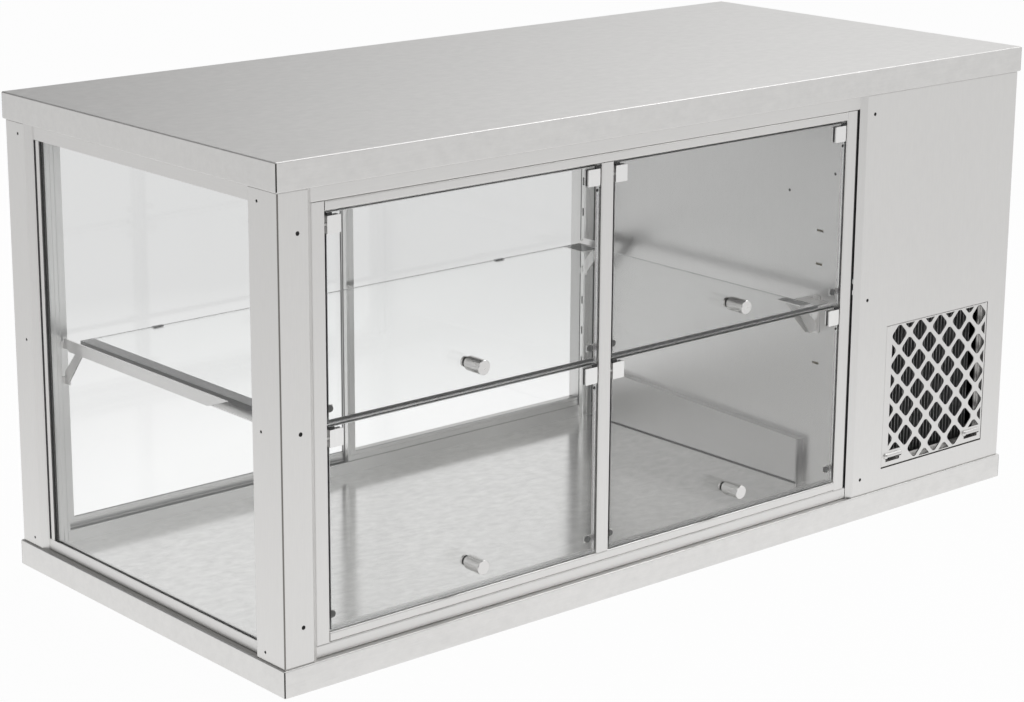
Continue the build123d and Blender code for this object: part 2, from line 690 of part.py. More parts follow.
def upright_channel(x_span, z_span):
    """Channel standing on end with its web on the front face."""
    section = folded(
        (x_span[0], STILE_BACK), (x_span[0], Y_FRAME), (x_span[1], Y_FRAME), (x_span[1], STILE_BACK)
    )
    return along_z(section, z_span)


def pivot_heights():
    """Heights of the upper and the lower hinge axes."""
    below_top = CLIP_BELOW_TOP + CLIP_HEIGHT / 2
    return UPPER_FLAP_SPAN[1] - below_top, LOWER_FLAP_SPAN[1] - below_top


def bumper_heights():
    """Heights of the upper and the lower bumpers."""
    return UPPER_FLAP_SPAN[0] + BUMPER_HEIGHT, LOWER_FLAP_SPAN[0] + BUMPER_HEIGHT


def with_stops(member, opening_side, direction):
    """Add the hinge holes and the stop tabs on one side of a frame member."""
    bore = PIN_DIAMETER + 2 * RUNNING_FIT
    for z in pivot_heights():
        start = (opening_side + 3 * direction, FLAP_MIDDLE, z)
        member -= rod(start, (-direction, 0, 0), bore, 6)
    tab_front = FLAP_BACK + GAP + BUMPER_LENGTH
    for z in bumper_heights():
        member += block(
            (opening_side - direction * SHEET / 2, opening_side + direction * STOP_TAB_LENGTH),
            (tab_front, tab_front + SHEET),
            (z - STOP_TAB_HEIGHT / 2, z + STOP_TAB_HEIGHT / 2),
        )
    return member


def frame_stiles():
    """Left and right uprights of the door frame."""
    z_span = (FRAME_BOTTOM, FRAME_TOP)
    left = upright_channel((FRAME_LEFT, FRAME_LEFT + STILE_WIDTH), z_span)
    right = upright_channel((FRAME_RIGHT - STILE_WIDTH, FRAME_RIGHT), z_span)
    left = with_stops(left, FRAME_LEFT + STILE_WIDTH, 1)
    right = with_stops(right, FRAME_RIGHT - STILE_WIDTH, -1)
    return group([left, right])


def frame_mullion():
    """Upright between the two door openings."""
    x_span = (OPENING_STARTS[0] + OPENING_WIDTH, OPENING_STARTS[1])
    mullion = upright_channel(x_span, (OPENING_BOTTOM, OPENING_TOP))
    mullion = with_stops(mullion, x_span[0], -1)
    return with_stops(mullion, x_span[1], 1)


def door_bumpers():
    """Clear round bumpers on the stop tabs."""
    bumpers = []
    for start in OPENING_STARTS:
        for x in (start + BUMPER_INSET, start + OPENING_WIDTH - BUMPER_INSET):
            for z in bumper_heights():
                disc = rod((x, FLAP_BACK + GAP, z), (0, 1, 0), BUMPER_DIAMETER, BUMPER_LENGTH)
                bumpers.append(fillet(disc.edges().sort_by(Axis.Y)[0], 0.8))
    return group(bumpers)


# Flaps
def flap_spans(start, z_span):
    """Width and height of one flap."""
    return (start + FLAP_SIDE_GAP, start + OPENING_WIDTH - FLAP_SIDE_GAP), z_span


def flap_glass(start, z_span):
    """Pane with a notch for each clip and a hole for the knob."""
    x_span, z_span = flap_spans(start, z_span)
    pane = block(x_span, (FLAP_FRONT, FLAP_BACK), z_span)
    clip_top = z_span[1] - CLIP_BELOW_TOP
    y_span = (FLAP_FRONT, FLAP_BACK)
    clip_z = (clip_top - CLIP_HEIGHT, clip_top)
    pane -= block((x_span[0], x_span[0] + CLIP_NOTCH), y_span, clip_z)
    pane -= block((x_span[1] - CLIP_NOTCH, x_span[1]), y_span, clip_z)
    centre = (sum(x_span) / 2, FLAP_FRONT - 1, z_span[0] + KNOB_HEIGHT)
    return pane - rod(centre, (0, 1, 0), KNOB_STEM_DIAMETER, GLASS + 2)


def flap_clip(edge, direction, clip_top):
    """Clamp around the edge of a pane with its hinge pin; direction points into the pane."""
    span = (edge, edge + direction * CLIP_WIDTH)
    y_span = (FLAP_FRONT - CLIP_CHEEK, FLAP_BACK + CLIP_CHEEK)
    z_span = (clip_top - CLIP_HEIGHT, clip_top)
    clip = block(span, y_span, z_span)
    clip = fillet(clip.edges().filter_by(Axis.Y), 1.0)
    clip -= block((edge + direction * CLIP_NOTCH, edge + 2 * direction * CLIP_WIDTH), (FLAP_FRONT, FLAP_BACK), z_span)
    pin_length = FLAP_SIDE_GAP + SHEET + PIN_BEYOND_RETURN
    start = (edge + direction * CLIP_NOTCH / 2, FLAP_MIDDLE, sum(z_span) / 2)
    return clip + rod(start, (-direction, 0, 0), PIN_DIAMETER, pin_length + CLIP_NOTCH / 2)


def flap_clips(start, z_span):
    """Left and right clip of one flap."""
    x_span, z_span = flap_spans(start, z_span)
    clip_top = z_span[1] - CLIP_BELOW_TOP
    return group([flap_clip(x_span[0], 1, clip_top), flap_clip(x_span[1], -1, clip_top)])


def flap_knob(start, z_span):
    """Round knob with a neck, its stem through the glass and its nut behind."""
    x_span, z_span = flap_spans(start, z_span)
    x, z = sum(x_span) / 2, z_span[0] + KNOB_HEIGHT
    knob = rod((x, FLAP_FRONT - KNOB_NECK_LENGTH, z), (0, -1, 0), KNOB_DIAMETER, KNOB_LENGTH)
    knob = chamfer(knob.edges().filter_by(GeomType.CIRCLE), KNOB_CHAMFER)
    knob += rod((x, FLAP_FRONT, z), (0, -1, 0), KNOB_NECK_DIAMETER, KNOB_NECK_LENGTH + 1)
    knob += rod((x, FLAP_FRONT - 1, z), (0, 1, 0), KNOB_STEM_DIAMETER, GLASS + 2)
    knob += rod((x, FLAP_BACK, z), (0, 1, 0), KNOB_NUT_DIAMETER, KNOB_NUT_LENGTH)
    return knob


# Bulkhead
def bulkhead_liner():
    """Chamber side of the bulkhead with bracket slots, two small holes and the pipe holes."""
    x_span = (BULKHEAD_X, BULKHEAD_X + SHEET)
    liner = block(x_span, (BULKHEAD_FRONT, FLOOR_REAR), (Z_BASE, Z_TOP))
    tongue_z = (Z_BASE + REAR_BOTTOM_RAIL_HEIGHT + GAP, Z_TOP - REAR_TOP_RAIL_HEIGHT - GAP)
    liner += block(x_span, (FLOOR_REAR, Y_REAR_FRAME - SHEET), tongue_z)
    for z in slot_heights(WALL_SLOT_STEPS):
        slot_y = (WALL_SLOT_Y - SLOT_LENGTH / 2, WALL_SLOT_Y + SLOT_LENGTH / 2)
        liner -= block(x_span, slot_y, (z - SLOT_WIDTH / 2, z + SLOT_WIDTH / 2))
    for behind_front, below_top in WALL_HOLE_PLACES:
        start = (x_span[0] - 1, BULKHEAD_FRONT + behind_front, Z_TOP - below_top)
        liner -= rod(start, (1, 0, 0), WALL_HOLE_DIAMETER, 4)
    for z in PIPE_PASS_HEIGHTS:
        liner -= rod((x_span[0] - 1, PIPE_PASS_Y, z), (1, 0, 0), PIPE_DIAMETER + 2 * GAP, 4)
    return liner


def machine_partition():
    """Machine side of the bulkhead."""
    partition = block((PARTITION_X, PARTITION_X + SHEET), (BULKHEAD_FRONT, -BULKHEAD_FRONT), (Z_BASE, Z_TOP))
    for z in PIPE_PASS_HEIGHTS:
        partition -= rod((PARTITION_X - 1, PIPE_PASS_Y, z), (1, 0, 0), PIPE_DIAMETER + 2 * GAP, 4)
    return partition


def wall_cover_face(inset):
    """Side view of the low cover, drawn in by an inset at the top and both ends."""
    front = BULKHEAD_FRONT + WALL_COVER_FRONT_MARGIN + inset
    rear = UPRIGHT_Y - WALL_COVER_REAR_MARGIN - inset
    return polygon(
        (front, FLOOR_HEIGHT),
        (rear, FLOOR_HEIGHT),
        (rear, FLOOR_HEIGHT + WALL_COVER_REAR_HEIGHT - inset),
        (front, FLOOR_HEIGHT + WALL_COVER_FRONT_HEIGHT - inset),
    )


def wall_cover():
    """Low cover at the foot of the bulkhead over the drain."""
    x_span = (BULKHEAD_X - WALL_COVER_THICKNESS, BULKHEAD_X)
    cover = along_x(wall_cover_face(0), x_span)
    cover = fillet(cover.edges().group_by(Axis.X)[0].filter_by(Axis.Z), 3.0)
    cover -= along_x(wall_cover_face(SHEET), (x_span[0] + SHEET, x_span[1]))
    return cover


# Rear opening
def rear_rails():
    """Bottom and top strip of the rear opening."""
    x_span = (FRAME_LEFT, MACHINE_X)
    back = Y_REAR_FRAME - REAR_RAIL_DEPTH
    bottom = facing_channel(Y_REAR_FRAME, back, (Z_BASE, Z_BASE + REAR_BOTTOM_RAIL_HEIGHT))
    top = facing_channel(Y_REAR_FRAME, back, (Z_TOP - REAR_TOP_RAIL_HEIGHT, Z_TOP))
    return group([along_x(bottom, x_span), along_x(top, x_span)])


def upright_slot_span():
    """Depth of the bracket slots in the inner side of an upright."""
    middle = UPRIGHT_Y + UPRIGHT_SLOT_SET_BACK
    return middle - SLOT_WIDTH / 2, middle + SLOT_WIDTH / 2


def rear_upright(x_start, inner_side):
    """Ribbed channel with a row of bracket slots in the side that faces the chamber."""
    x_span = (x_start, x_start + UPRIGHT_WIDTH)
    back = UPRIGHT_Y + UPRIGHT_DEPTH
    channel = folded((x_span[0], back), (x_span[0], UPRIGHT_Y), (x_span[1], UPRIGHT_Y), (x_span[1], back))
    upright = along_z(channel, (FLOOR_HEIGHT, CEILING))
    inner, outer = (x_span[1], x_span[0]) if inner_side > 0 else x_span
    for rib in (outer + inner_side * RIB_INSET, inner - inner_side * INNER_RIB_INSET):
        rib_x = (rib - RIB_WIDTH / 2, rib + RIB_WIDTH / 2)
        upright -= block(rib_x, (UPRIGHT_Y, UPRIGHT_Y + RIB_DEPTH), (FLOOR_HEIGHT, CEILING))
    for z in slot_heights(UPRIGHT_SLOT_STEPS):
        upright -= block(
            (inner - inner_side * 2 * SHEET, inner + inner_side * SHEET),
            upright_slot_span(),
            (z - SLOT_LENGTH / 2, z + SLOT_LENGTH / 2),
        )
    return upright


def rear_uprights():
    """Both slotted uprights."""
    return group([rear_upright(LEFT_UPRIGHT_X, 1), rear_upright(RIGHT_UPRIGHT_X, -1)])


def rear_jamb():
    """Box section the left service door closes against."""
    jamb = block((LEFT_UPRIGHT_X, TRACK_LEFT), (TRACK_FRONT, TRACK_BACK), (FLOOR_HEIGHT, CEILING))
    jamb -= block(
        (LEFT_UPRIGHT_X + SHEET, TRACK_LEFT - SHEET),
        (TRACK_FRONT + SHEET, TRACK_BACK),
        (FLOOR_HEIGHT, CEILING),
    )
    return jamb


def track(z_base, z_lip):
    """Two-channel track; the lips run from the base level to the lip level."""
    direction = 1 if z_lip > z_base else -1
    rail = block((TRACK_LEFT, TRACK_RIGHT), (TRACK_FRONT, TRACK_BACK), (z_base, z_base + direction * TRACK_LIP))
    step = TRACK_LIP + 2 * DOOR_CLEARANCE + DOOR_THICKNESS
    for index in range(3):
        y = TRACK_FRONT + index * step
        rail += block((TRACK_LEFT, TRACK_RIGHT), (y, y + TRACK_LIP), (z_base, z_lip))
    return rail


def bottom_track():
    """Track on the display floor."""
    return track(FLOOR_HEIGHT, FLOOR_HEIGHT + TRACK_LIP_HEIGHT)


def top_track():
    """Track under the ceiling."""
    return track(CEILING, CEILING - TRACK_LIP_HEIGHT)


def door_left_edges():
    """Left edge of the left and of the right service door when closed."""
    return TRACK_LEFT + DOOR_END_GAP, TRACK_RIGHT - DOOR_END_GAP - DOOR_WIDTH


def service_frame(left, y_centre, pull_at_left):
    """Profile frame of a service door with its glass groove, face line and finger pull."""
    x_span = (left, left + DOOR_WIDTH)
    y_span = (y_centre - DOOR_THICKNESS / 2, y_centre + DOOR_THICKNESS / 2)
    inner_x = (x_span[0] + DOOR_STILE, x_span[1] - DOOR_STILE)
    inner_z = (DOOR_BOTTOM + DOOR_BOTTOM_RAIL, DOOR_TOP - DOOR_TOP_RAIL)
    door = block(x_span, y_span, (DOOR_BOTTOM, DOOR_TOP)) - block(inner_x, y_span, inner_z)
    door -= service_pane(left, y_centre)
    line = DOOR_BOTTOM + DOOR_BOTTOM_RAIL - RIB_INSET
    door -= block(x_span, (y_span[0], y_span[0] + RIB_DEPTH), (line - RIB_WIDTH, line))
    for x in (x_span[0] + RIB_INSET, x_span[1] - RIB_INSET):
        rib_x = (x - RIB_WIDTH / 2, x + RIB_WIDTH / 2)
        door -= block(rib_x, (y_span[0], y_span[0] + RIB_DEPTH), (line, DOOR_TOP))
    pull_x = x_span[0] + DOOR_STILE / 2 if pull_at_left else x_span[1] - DOOR_STILE / 2
    middle = (DOOR_BOTTOM + DOOR_TOP) / 2
    pull = block(
        (pull_x - PULL_WIDTH / 2, pull_x + PULL_WIDTH / 2),
        (y_span[1] - PULL_DEPTH, y_span[1] + PULL_DEPTH),
        (middle - PULL_LENGTH / 2, middle + PULL_LENGTH / 2),
    )
    return door - fillet(pull.edges().filter_by(Axis.Y), PULL_WIDTH / 2 - 0.1)


def service_pane(left, y_centre):
    """Glass of a service door, seated in the groove of its frame."""
    inset = DOOR_STILE - DOOR_GLASS_GROOVE
    return block(
        (left + inset, left + DOOR_WIDTH - inset),
        (y_centre - DOOR_GLASS / 2, y_centre + DOOR_GLASS / 2),
        (DOOR_BOTTOM + DOOR_BOTTOM_RAIL - DOOR_GLASS_GROOVE, DOOR_TOP - DOOR_TOP_RAIL + DOOR_GLASS_GROOVE),
    )


# Shelf
def shelf_glass():
    """One clear shelf."""
    shelf = block((SHELF_LEFT, SHELF_RIGHT), (SHELF_FRONT, SHELF_REAR), (SHELF_BOTTOM, SHELF_TOP))
    return chamfer(shelf.edges(), 0.4)


def shelf_stops():
    """Two small clips over the rear edge of the shelf."""
    stops = []
    for x in (SHELF_LEFT + STOP_INSETS[0], SHELF_RIGHT - STOP_INSETS[1]):
        x_span = (x - STOP_WIDTH / 2, x + STOP_WIDTH / 2)
        outer = block(
            x_span,
            (SHELF_REAR - STOP_REACH, SHELF_REAR + STOP_SHEET),
            (SHELF_BOTTOM - STOP_SHEET, SHELF_TOP + STOP_SHEET),
        )
        stops.append(outer - block(x_span, (SHELF_REAR - STOP_REACH, SHELF_REAR), (SHELF_BOTTOM, SHELF_TOP)))
    return group(stops)


def rear_leg():
    """Side view of the diagonal leg that props an arm from its upright."""
    foot_z = SHELF_TOP - LEG_DROP
    return polygon(
        (BRACKET_FOOT, foot_z),
        (BRACKET_FOOT, foot_z + LEG_WIDTH),
        (BRACKET_FOOT - LEG_RUN + LEG_WIDTH / 2, BRACKET_WEB_BOTTOM + 1),
        (BRACKET_FOOT - LEG_RUN - LEG_WIDTH, BRACKET_WEB_BOTTOM + 1),
        (BRACKET_FOOT - LEG_WIDTH, foot_z),
    )


def bracket_web_span(inner_edge, inner_side):
    """Thickness of a bracket web beside the inner edge of its upright."""
    near = inner_edge + inner_side * BRACKET_SIDE_GAP
    return tuple(sorted((near, near + inner_side * BRACKET_SHEET)))


def upright_hooks(inner_edge, inner_side):
    """Tabs behind a web with the tongues that reach into two slots of the upright."""
    web_x = bracket_web_span(inner_edge, inner_side)
    slot_y = sum(upright_slot_span()) / 2
    tongue_y = (slot_y - HOOK_THICKNESS / 2, slot_y + HOOK_THICKNESS / 2)
    hooks = None
    for z in HOOK_HEIGHTS:
        z_span = (z - HOOK_HEIGHT / 2, z + HOOK_HEIGHT / 2)
        tab = block(web_x, (BRACKET_FOOT - LEG_WIDTH, tongue_y[1]), z_span)
        tip = inner_edge - inner_side * (SHEET + HOOK_DEPTH / 2)
        far = web_x[1] if inner_side > 0 else web_x[0]
        tab += block((tip, far), tongue_y, z_span)
        hooks = tab if hooks is None else hooks + tab
    return hooks


def left_shelf_bracket():
    """Long angle arm under the left edge of the shelf."""
    edge = LEFT_UPRIGHT_X + UPRIGHT_WIDTH
    web_x = bracket_web_span(edge, 1)
    web = polygon(
        (BRACKET_FOOT, BRACKET_WEB_TOP),
        (BRACKET_FOOT - BRACKET_TOP_RUN, BRACKET_WEB_TOP),
        (BRACKET_FOOT - BRACKET_BOTTOM_RUN, BRACKET_WEB_BOTTOM),
        (BRACKET_FOOT - LEG_WIDTH, BRACKET_WEB_BOTTOM),
        (BRACKET_FOOT, BRACKET_WEB_BOTTOM + LEG_WIDTH),
    )
    bracket = along_x(web, web_x) + along_x(rear_leg(), web_x)
    bracket += block(
        (web_x[0], web_x[0] + BRACKET_FLANGE),
        (SHELF_FRONT + STOP_REACH, SHELF_REAR),
        (SHELF_BOTTOM - BRACKET_SHEET, SHELF_BOTTOM),
    )
    return bracket + upright_hooks(edge, 1)


def rear_right_bracket():
    """Short arm under the rear right corner of the shelf."""
    web_x = bracket_web_span(RIGHT_UPRIGHT_X, -1)
    front = BRACKET_FOOT - REAR_BRACKET_RUN
    web = polygon(
        (BRACKET_FOOT, BRACKET_WEB_TOP),
        (front, BRACKET_WEB_TOP),
        (front, BRACKET_WEB_BOTTOM),
        (BRACKET_FOOT, BRACKET_WEB_BOTTOM),
    )
    bracket = along_x(web, web_x) + along_x(rear_leg(), web_x)
    bracket += block(
        (web_x[1] - BRACKET_FLANGE, web_x[1]),
        (front, SHELF_REAR),
        (SHELF_BOTTOM - BRACKET_SHEET, SHELF_BOTTOM),
    )
    return bracket + upright_hooks(RIGHT_UPRIGHT_X, -1)


def wall_bracket():
    """Plate under the front right corner of the shelf with two legs that meet at its foot."""
    wall = BULKHEAD_X - GAP
    reach = wall - WALL_BRACKET_REACH
    half = WALL_BRACKET_DEPTH / 2
    bracket = block(
        (reach, wall), (WALL_SLOT_Y - half, WALL_SLOT_Y + half), (SHELF_BOTTOM - BRACKET_SHEET, SHELF_BOTTOM)
    )
    leg = polygon(
        (-2.0, HOOK_HEIGHTS[1]),
        (-2.0, HOOK_HEIGHTS[1] + LEG_WIDTH),
        (-WALL_BRACKET_REACH + LEG_WIDTH + 6.0, SHELF_BOTTOM - BRACKET_SHEET),
        (-WALL_BRACKET_REACH + 2.0, SHELF_BOTTOM - BRACKET_SHEET),
        (-WALL_BRACKET_FOOT, HOOK_HEIGHTS[1]),
    )
    for angle in (-WALL_LEG_ANGLE, WALL_LEG_ANGLE):
        strip = along_y(leg, (-BRACKET_SHEET / 2, BRACKET_SHEET / 2))
        bracket += Pos(wall, WALL_SLOT_Y, 0) * Rot(0, 0, angle) * strip
    bracket += block(
        (wall - 3.0, wall),
        (WALL_SLOT_Y - 5.0, WALL_SLOT_Y + 5.0),
        (HOOK_HEIGHTS[1] - 3.0, HOOK_HEIGHTS[0] + 3.0),
    )
    for z in HOOK_HEIGHTS:
        bracket += block((wall - 1.0, wall + HOOK_DEPTH), (WALL_SLOT_Y - 4.0, WALL_SLOT_Y + 4.0), (z - 1.2, z + 1.2))
    return bracket


def right_shelf_brackets():
    """Wall bracket in front and upright bracket at the rear."""
    return group([wall_bracket(), rear_right_bracket()])


# Machine covers
def grille_spans(margin, bottom_margin):
    """Grille outline grown by a margin at the sides and the top and by another at the bottom."""
    x_span = (GRILLE_LEFT - margin, GRILLE_LEFT + GRILLE_WIDTH + margin)
    z_span = (GRILLE_BOTTOM - bottom_margin, GRILLE_BOTTOM + GRILLE_HEIGHT + margin)
    return x_span, z_span


def machine_front_cover():
    """Front cover with a stepped left edge, a right return and the seat of the grille."""
    section = folded(
        (MACHINE_X, Y_FRAME),
        (MACHINE_X + STEP_WIDTH, Y_FRONT),
        (X_RIGHT, Y_FRONT),
        (X_RIGHT, Y_FRONT + COVER_RETURN),
    )
    cover = along_z(section, (Z_BASE, Z_TOP))
    hole_x, hole_z = grille_spans(GRILLE_GAP, GRILLE_BOTTOM_GAP)
    well_x, well_z = grille_spans(GRILLE_GAP + SHEET, GRILLE_BOTTOM_GAP + SHEET)
    seat_x, seat_z = grille_spans(-GRILLE_SEAT, -GRILLE_SEAT)
    seat_front = Y_FRONT + GRILLE_RETURN + GAP
    cover += block(well_x, (Y_FRONT + SHEET / 2, seat_front + SHEET), well_z)
    cover -= block(hole_x, (Y_FRONT, seat_front), hole_z)
    cover -= block(seat_x, (Y_FRONT, seat_front + SHEET), seat_z)
    for z in hole_heights(COVER_HOLE_ENDS):
        cover -= rod((MACHINE_X + COVER_HOLE_INSET, Y_FRONT - 1, z), (0, 1, 0), COVER_HOLE_DIAMETER, 5)
    cover -= reveal((MACHINE_X + STEP_WIDTH, X_RIGHT), (Y_FRONT, Y_FRONT + REVEAL_DEPTH))
    cover -= reveal((X_RIGHT - REVEAL_DEPTH, X_RIGHT), (Y_FRONT, Y_FRONT + COVER_RETURN))
    return cover


def vent_slots(centre, axis):
    """Row of long air slots to be cut from a cover; axis is the direction the slots run in."""
    slots = []
    for index in range(VENT_COUNT):
        z = Z_BASE + VENT_HEIGHT + index * VENT_PITCH
        half = VENT_LENGTH / 2
        if axis == Axis.Y:
            slot = block((centre[0] - 4, centre[0] + 4), (centre[1] - half, centre[1] + half), (z, z + VENT_SLOT))
            slots.append(fillet(slot.edges().filter_by(Axis.X), VENT_SLOT / 2 - 0.1))
        else:
            slot = block((centre[0] - half, centre[0] + half), (centre[1] - 4, centre[1] + 4), (z, z + VENT_SLOT))
            slots.append(fillet(slot.edges().filter_by(Axis.Y), VENT_SLOT / 2 - 0.1))
    return slots


def machine_side_cover():
    """Right side cover with air slots."""
    end = Y_FRONT + COVER_RETURN + COVER_SEAM
    cover = block((X_RIGHT - SHEET, X_RIGHT), (end, -end), (Z_BASE, Z_TOP))
    cover -= reveal((X_RIGHT - REVEAL_DEPTH, X_RIGHT), (end, -end))
    return cover - vent_slots((X_RIGHT, 0), Axis.Y)


def machine_rear_cover():
    """Rear cover with air slots and the hole of the control panel."""
    section = folded(
        (X_RIGHT, Y_REAR - COVER_RETURN),
        (X_RIGHT, Y_REAR),
        (MACHINE_X + STEP_WIDTH, Y_REAR),
        (MACHINE_X, Y_REAR_FRAME),
    )
    cover = along_z(section, (Z_BASE, Z_TOP))
    cover -= reveal((MACHINE_X + STEP_WIDTH, X_RIGHT), (Y_REAR - REVEAL_DEPTH, Y_REAR))
    cover -= reveal((X_RIGHT - REVEAL_DEPTH, X_RIGHT), (Y_REAR - COVER_RETURN, Y_REAR))
    cover -= block(
        (PANEL_LEFT, PANEL_LEFT + PANEL_WIDTH),
        (Y_REAR - 4, Y_REAR + 1),
        (PANEL_BOTTOM, PANEL_BOTTOM + PANEL_HEIGHT),
    )
    return cover - vent_slots(((MACHINE_X + X_RIGHT) / 2, Y_REAR), Axis.X)


def grille_holes():
    """Diamond holes of the grille as one flat pattern, clipped to its field."""
    x_span, z_span = grille_spans(0, 0)
    field_x = (x_span[0] + DIAMOND_SIDE_MARGINS[0], x_span[1] - DIAMOND_SIDE_MARGINS[1])
    field_z = (z_span[0] + DIAMOND_END_MARGINS[0], z_span[1] - DIAMOND_END_MARGINS[1])
    centre = (sum(x_span) / 2 + DIAMOND_SHIFT[0], sum(z_span) / 2 + DIAMOND_SHIFT[1])
    side = DIAMOND_DIAGONAL / 2**0.5
    diamond = Rot(0, 0, 45) * RectangleRounded(side, side, DIAMOND_CORNER)
    field = Pos(sum(field_x) / 2, sum(field_z) / 2) * Rectangle(
        field_x[1] - field_x[0], field_z[1] - field_z[0]
    )
    scoop_z = z_span[0] + SCOOP_HEIGHT
    scoop_top = scoop_z + SCOOP_RADIUS + SCOOP_CLEARANCE
    keep_out = Rectangle(SCOOP_WIDTH + 2 * SCOOP_CLEARANCE, 2 * (scoop_top - z_span[0]))
    for x in scoop_centres():
        field -= Pos(x, z_span[0]) * keep_out
    holes = []
    for column in range(-5, 6):
        for row in range(-6, 7):
            if (column + row) % 2:
                continue
            x, z = centre[0] + column * DIAMOND_PITCH, centre[1] + row * DIAMOND_PITCH
            below_scoop = z < scoop_z and min(abs(x - place) for place in scoop_centres()) < SCOOP_WIDTH
            hole = (Pos(x, z) * diamond) & field
            for face in hole.faces():
                if face.area > DIAMOND_LEAST_AREA and not (below_scoop and face.center().Y < scoop_z):
                    holes.append(face)
    return holes


def scoop_centres():
    """Middles of the two finger scoops along the grille."""
    x_span = grille_spans(0, 0)[0]
    inset = SCOOP_INSET + SCOOP_WIDTH / 2
    return x_span[0] + inset, x_span[1] - inset


def scoop(x):
    """Raised finger scoop and the hollow to be cut behind it."""
    half = SCOOP_WIDTH / 2 - SCOOP_RADIUS
    z = GRILLE_BOTTOM + SCOOP_HEIGHT
    shapes = []
    for radius in (SCOOP_RADIUS, SCOOP_RADIUS - 1.0):
        bar = rod((x - half, Y_FRONT + 0.4, z), (1, 0, 0), 2 * radius, 2 * half)
        bar += Pos(x - half, Y_FRONT + 0.4, z) * Sphere(radius)
        bar += Pos(x + half, Y_FRONT + 0.4, z) * Sphere(radius)
        shapes.append(bar)
    shell = shapes[0] & block((x - 30, x + 30), (Y_FRONT - 10, Y_FRONT + SHEET / 2), (z - 10, z + 10))
    mouth_z = (z - SCOOP_RADIUS - SCOOP_MOUTH_DROP, z - 1.0)
    mouth = block((x - half, x + half), (Y_FRONT - 10, Y_FRONT + 4), mouth_z)
    return shell, shapes[1] + mouth


def grille():
    """Lift-off grille plate with short returns, diamond holes and two finger scoops."""
    x_span, z_span = grille_spans(0, 0)
    plate = block(x_span, (Y_FRONT, Y_FRONT + GRILLE_RETURN), z_span)
    plate = fillet(plate.edges().group_by(Axis.Y)[0], 1.0)
    plate -= block(
        (x_span[0] + SHEET, x_span[1] - SHEET),
        (Y_FRONT + SHEET, Y_FRONT + GRILLE_RETURN),
        (z_span[0] + SHEET, z_span[1] - SHEET),
    )
    for face in grille_holes():
        plate -= along_y(face, (Y_FRONT - 2, Y_FRONT + 4))
    for x in scoop_centres():
        shell, hollow = scoop(x)
        plate = plate + shell - hollow
    return plate


# Condensing unit
def coil_rows(y_centre, z_bottom, height, rows):
    """Heights of the straight tubes of a coil in one vertical bank."""
    pitch = height / rows
    return [(y_centre, z_bottom + pitch * (index + 0.5)) for index in range(rows)]


def condenser():
    """Finned coil behind the grille with two end plates that stand on the deck."""
    y_span = (CONDENSER_FRONT, CONDENSER_FRONT + CONDENSER_DEPTH)
    z_span = (CONDENSER_BOTTOM, CONDENSER_BOTTOM + CONDENSER_HEIGHT)
    right = CONDENSER_LEFT + CONDENSER_WIDTH
    pieces = [
        block((CONDENSER_LEFT, CONDENSER_LEFT + SHEET), y_span, (Z_BASE, z_span[1])),
        block((right - SHEET, right), y_span, (Z_BASE, z_span[1])),
    ]
    count = int(CONDENSER_WIDTH / CONDENSER_FIN_PITCH)
    for index in range(1, count):
        x = CONDENSER_LEFT + index * CONDENSER_WIDTH / count
        pieces.append(block((x - FIN_SHEET / 2, x + FIN_SHEET / 2), y_span, z_span))
    rows = coil_rows(sum(y_span) / 2, CONDENSER_BOTTOM, CONDENSER_HEIGHT, CONDENSER_TUBE_ROWS)
    for y, z in rows:
        pieces.append(rod((CONDENSER_LEFT - 3, y, z), (1, 0, 0), COIL_TUBE_DIAMETER, CONDENSER_WIDTH + 6))
    return pieces[0].fuse(*pieces[1:])


def fan_centre():
    """Axis of the condenser fan."""
    return CONDENSER_LEFT + CONDENSER_WIDTH / 2, CONDENSER_BOTTOM + CONDENSER_HEIGHT / 2


def shroud_span():
    """Depth of the fan shroud."""
    front = CONDENSER_FRONT + CONDENSER_DEPTH
    return front, front + SHROUD_DEPTH


def fan_shroud():
    """Hood behind the condenser with a round air opening."""
    y_span = shroud_span()
    x_span = (CONDENSER_LEFT, CONDENSER_LEFT + CONDENSER_WIDTH)
    z_span = (Z_BASE, CONDENSER_BOTTOM + CONDENSER_HEIGHT)
    hood = block(x_span, y_span, z_span)
    hood -= block(
        (x_span[0] + SHEET, x_span[1] - SHEET),
        (y_span[0], y_span[1] - SHEET),
        (Z_BASE + SHEET, z_span[1] - SHEET),
    )
    x, z = fan_centre()
    opening = FAN_DIAMETER + 2 * FAN_OPENING_CLEARANCE
    return hood - rod((x, y_span[0], z), (0, 1, 0), opening, SHROUD_DEPTH + 2)


def fan_blade():
    """Hub with twisted blades on a short shaft bore."""
    x, z = fan_centre()
    front, back = shroud_span()
    y = (front + back) / 2 + 1.0
    hub = rod((x, y - FAN_DEPTH / 2, z), (0, 1, 0), FAN_HUB_DIAMETER, FAN_DEPTH)
    hub -= rod((x, y - FAN_DEPTH / 2 + 4, z), (0, 1, 0), FAN_SHAFT_DIAMETER + 2 * RUNNING_FIT, FAN_DEPTH)
    reach = FAN_DIAMETER / 2 - FAN_HUB_DIAMETER / 2 + 4.0
    centre = FAN_HUB_DIAMETER / 2 - 4.0 + reach / 2
    for index in range(FAN_BLADES):
        blade = Box(reach, 2.0, 46.0)
        blade = fillet(blade.edges().filter_by(Axis.Y), 12.0)
        blade = Pos(centre, 0, 0) * Rot(20.0, 0, 0) * blade
        hub += Pos(x, y, z) * Rot(0, 360.0 / FAN_BLADES * index, 0) * blade
    limit = rod((x, y - FAN_DEPTH / 2 - 1, z), (0, 1, 0), FAN_DIAMETER, FAN_DEPTH + 2)
    return hub & limit


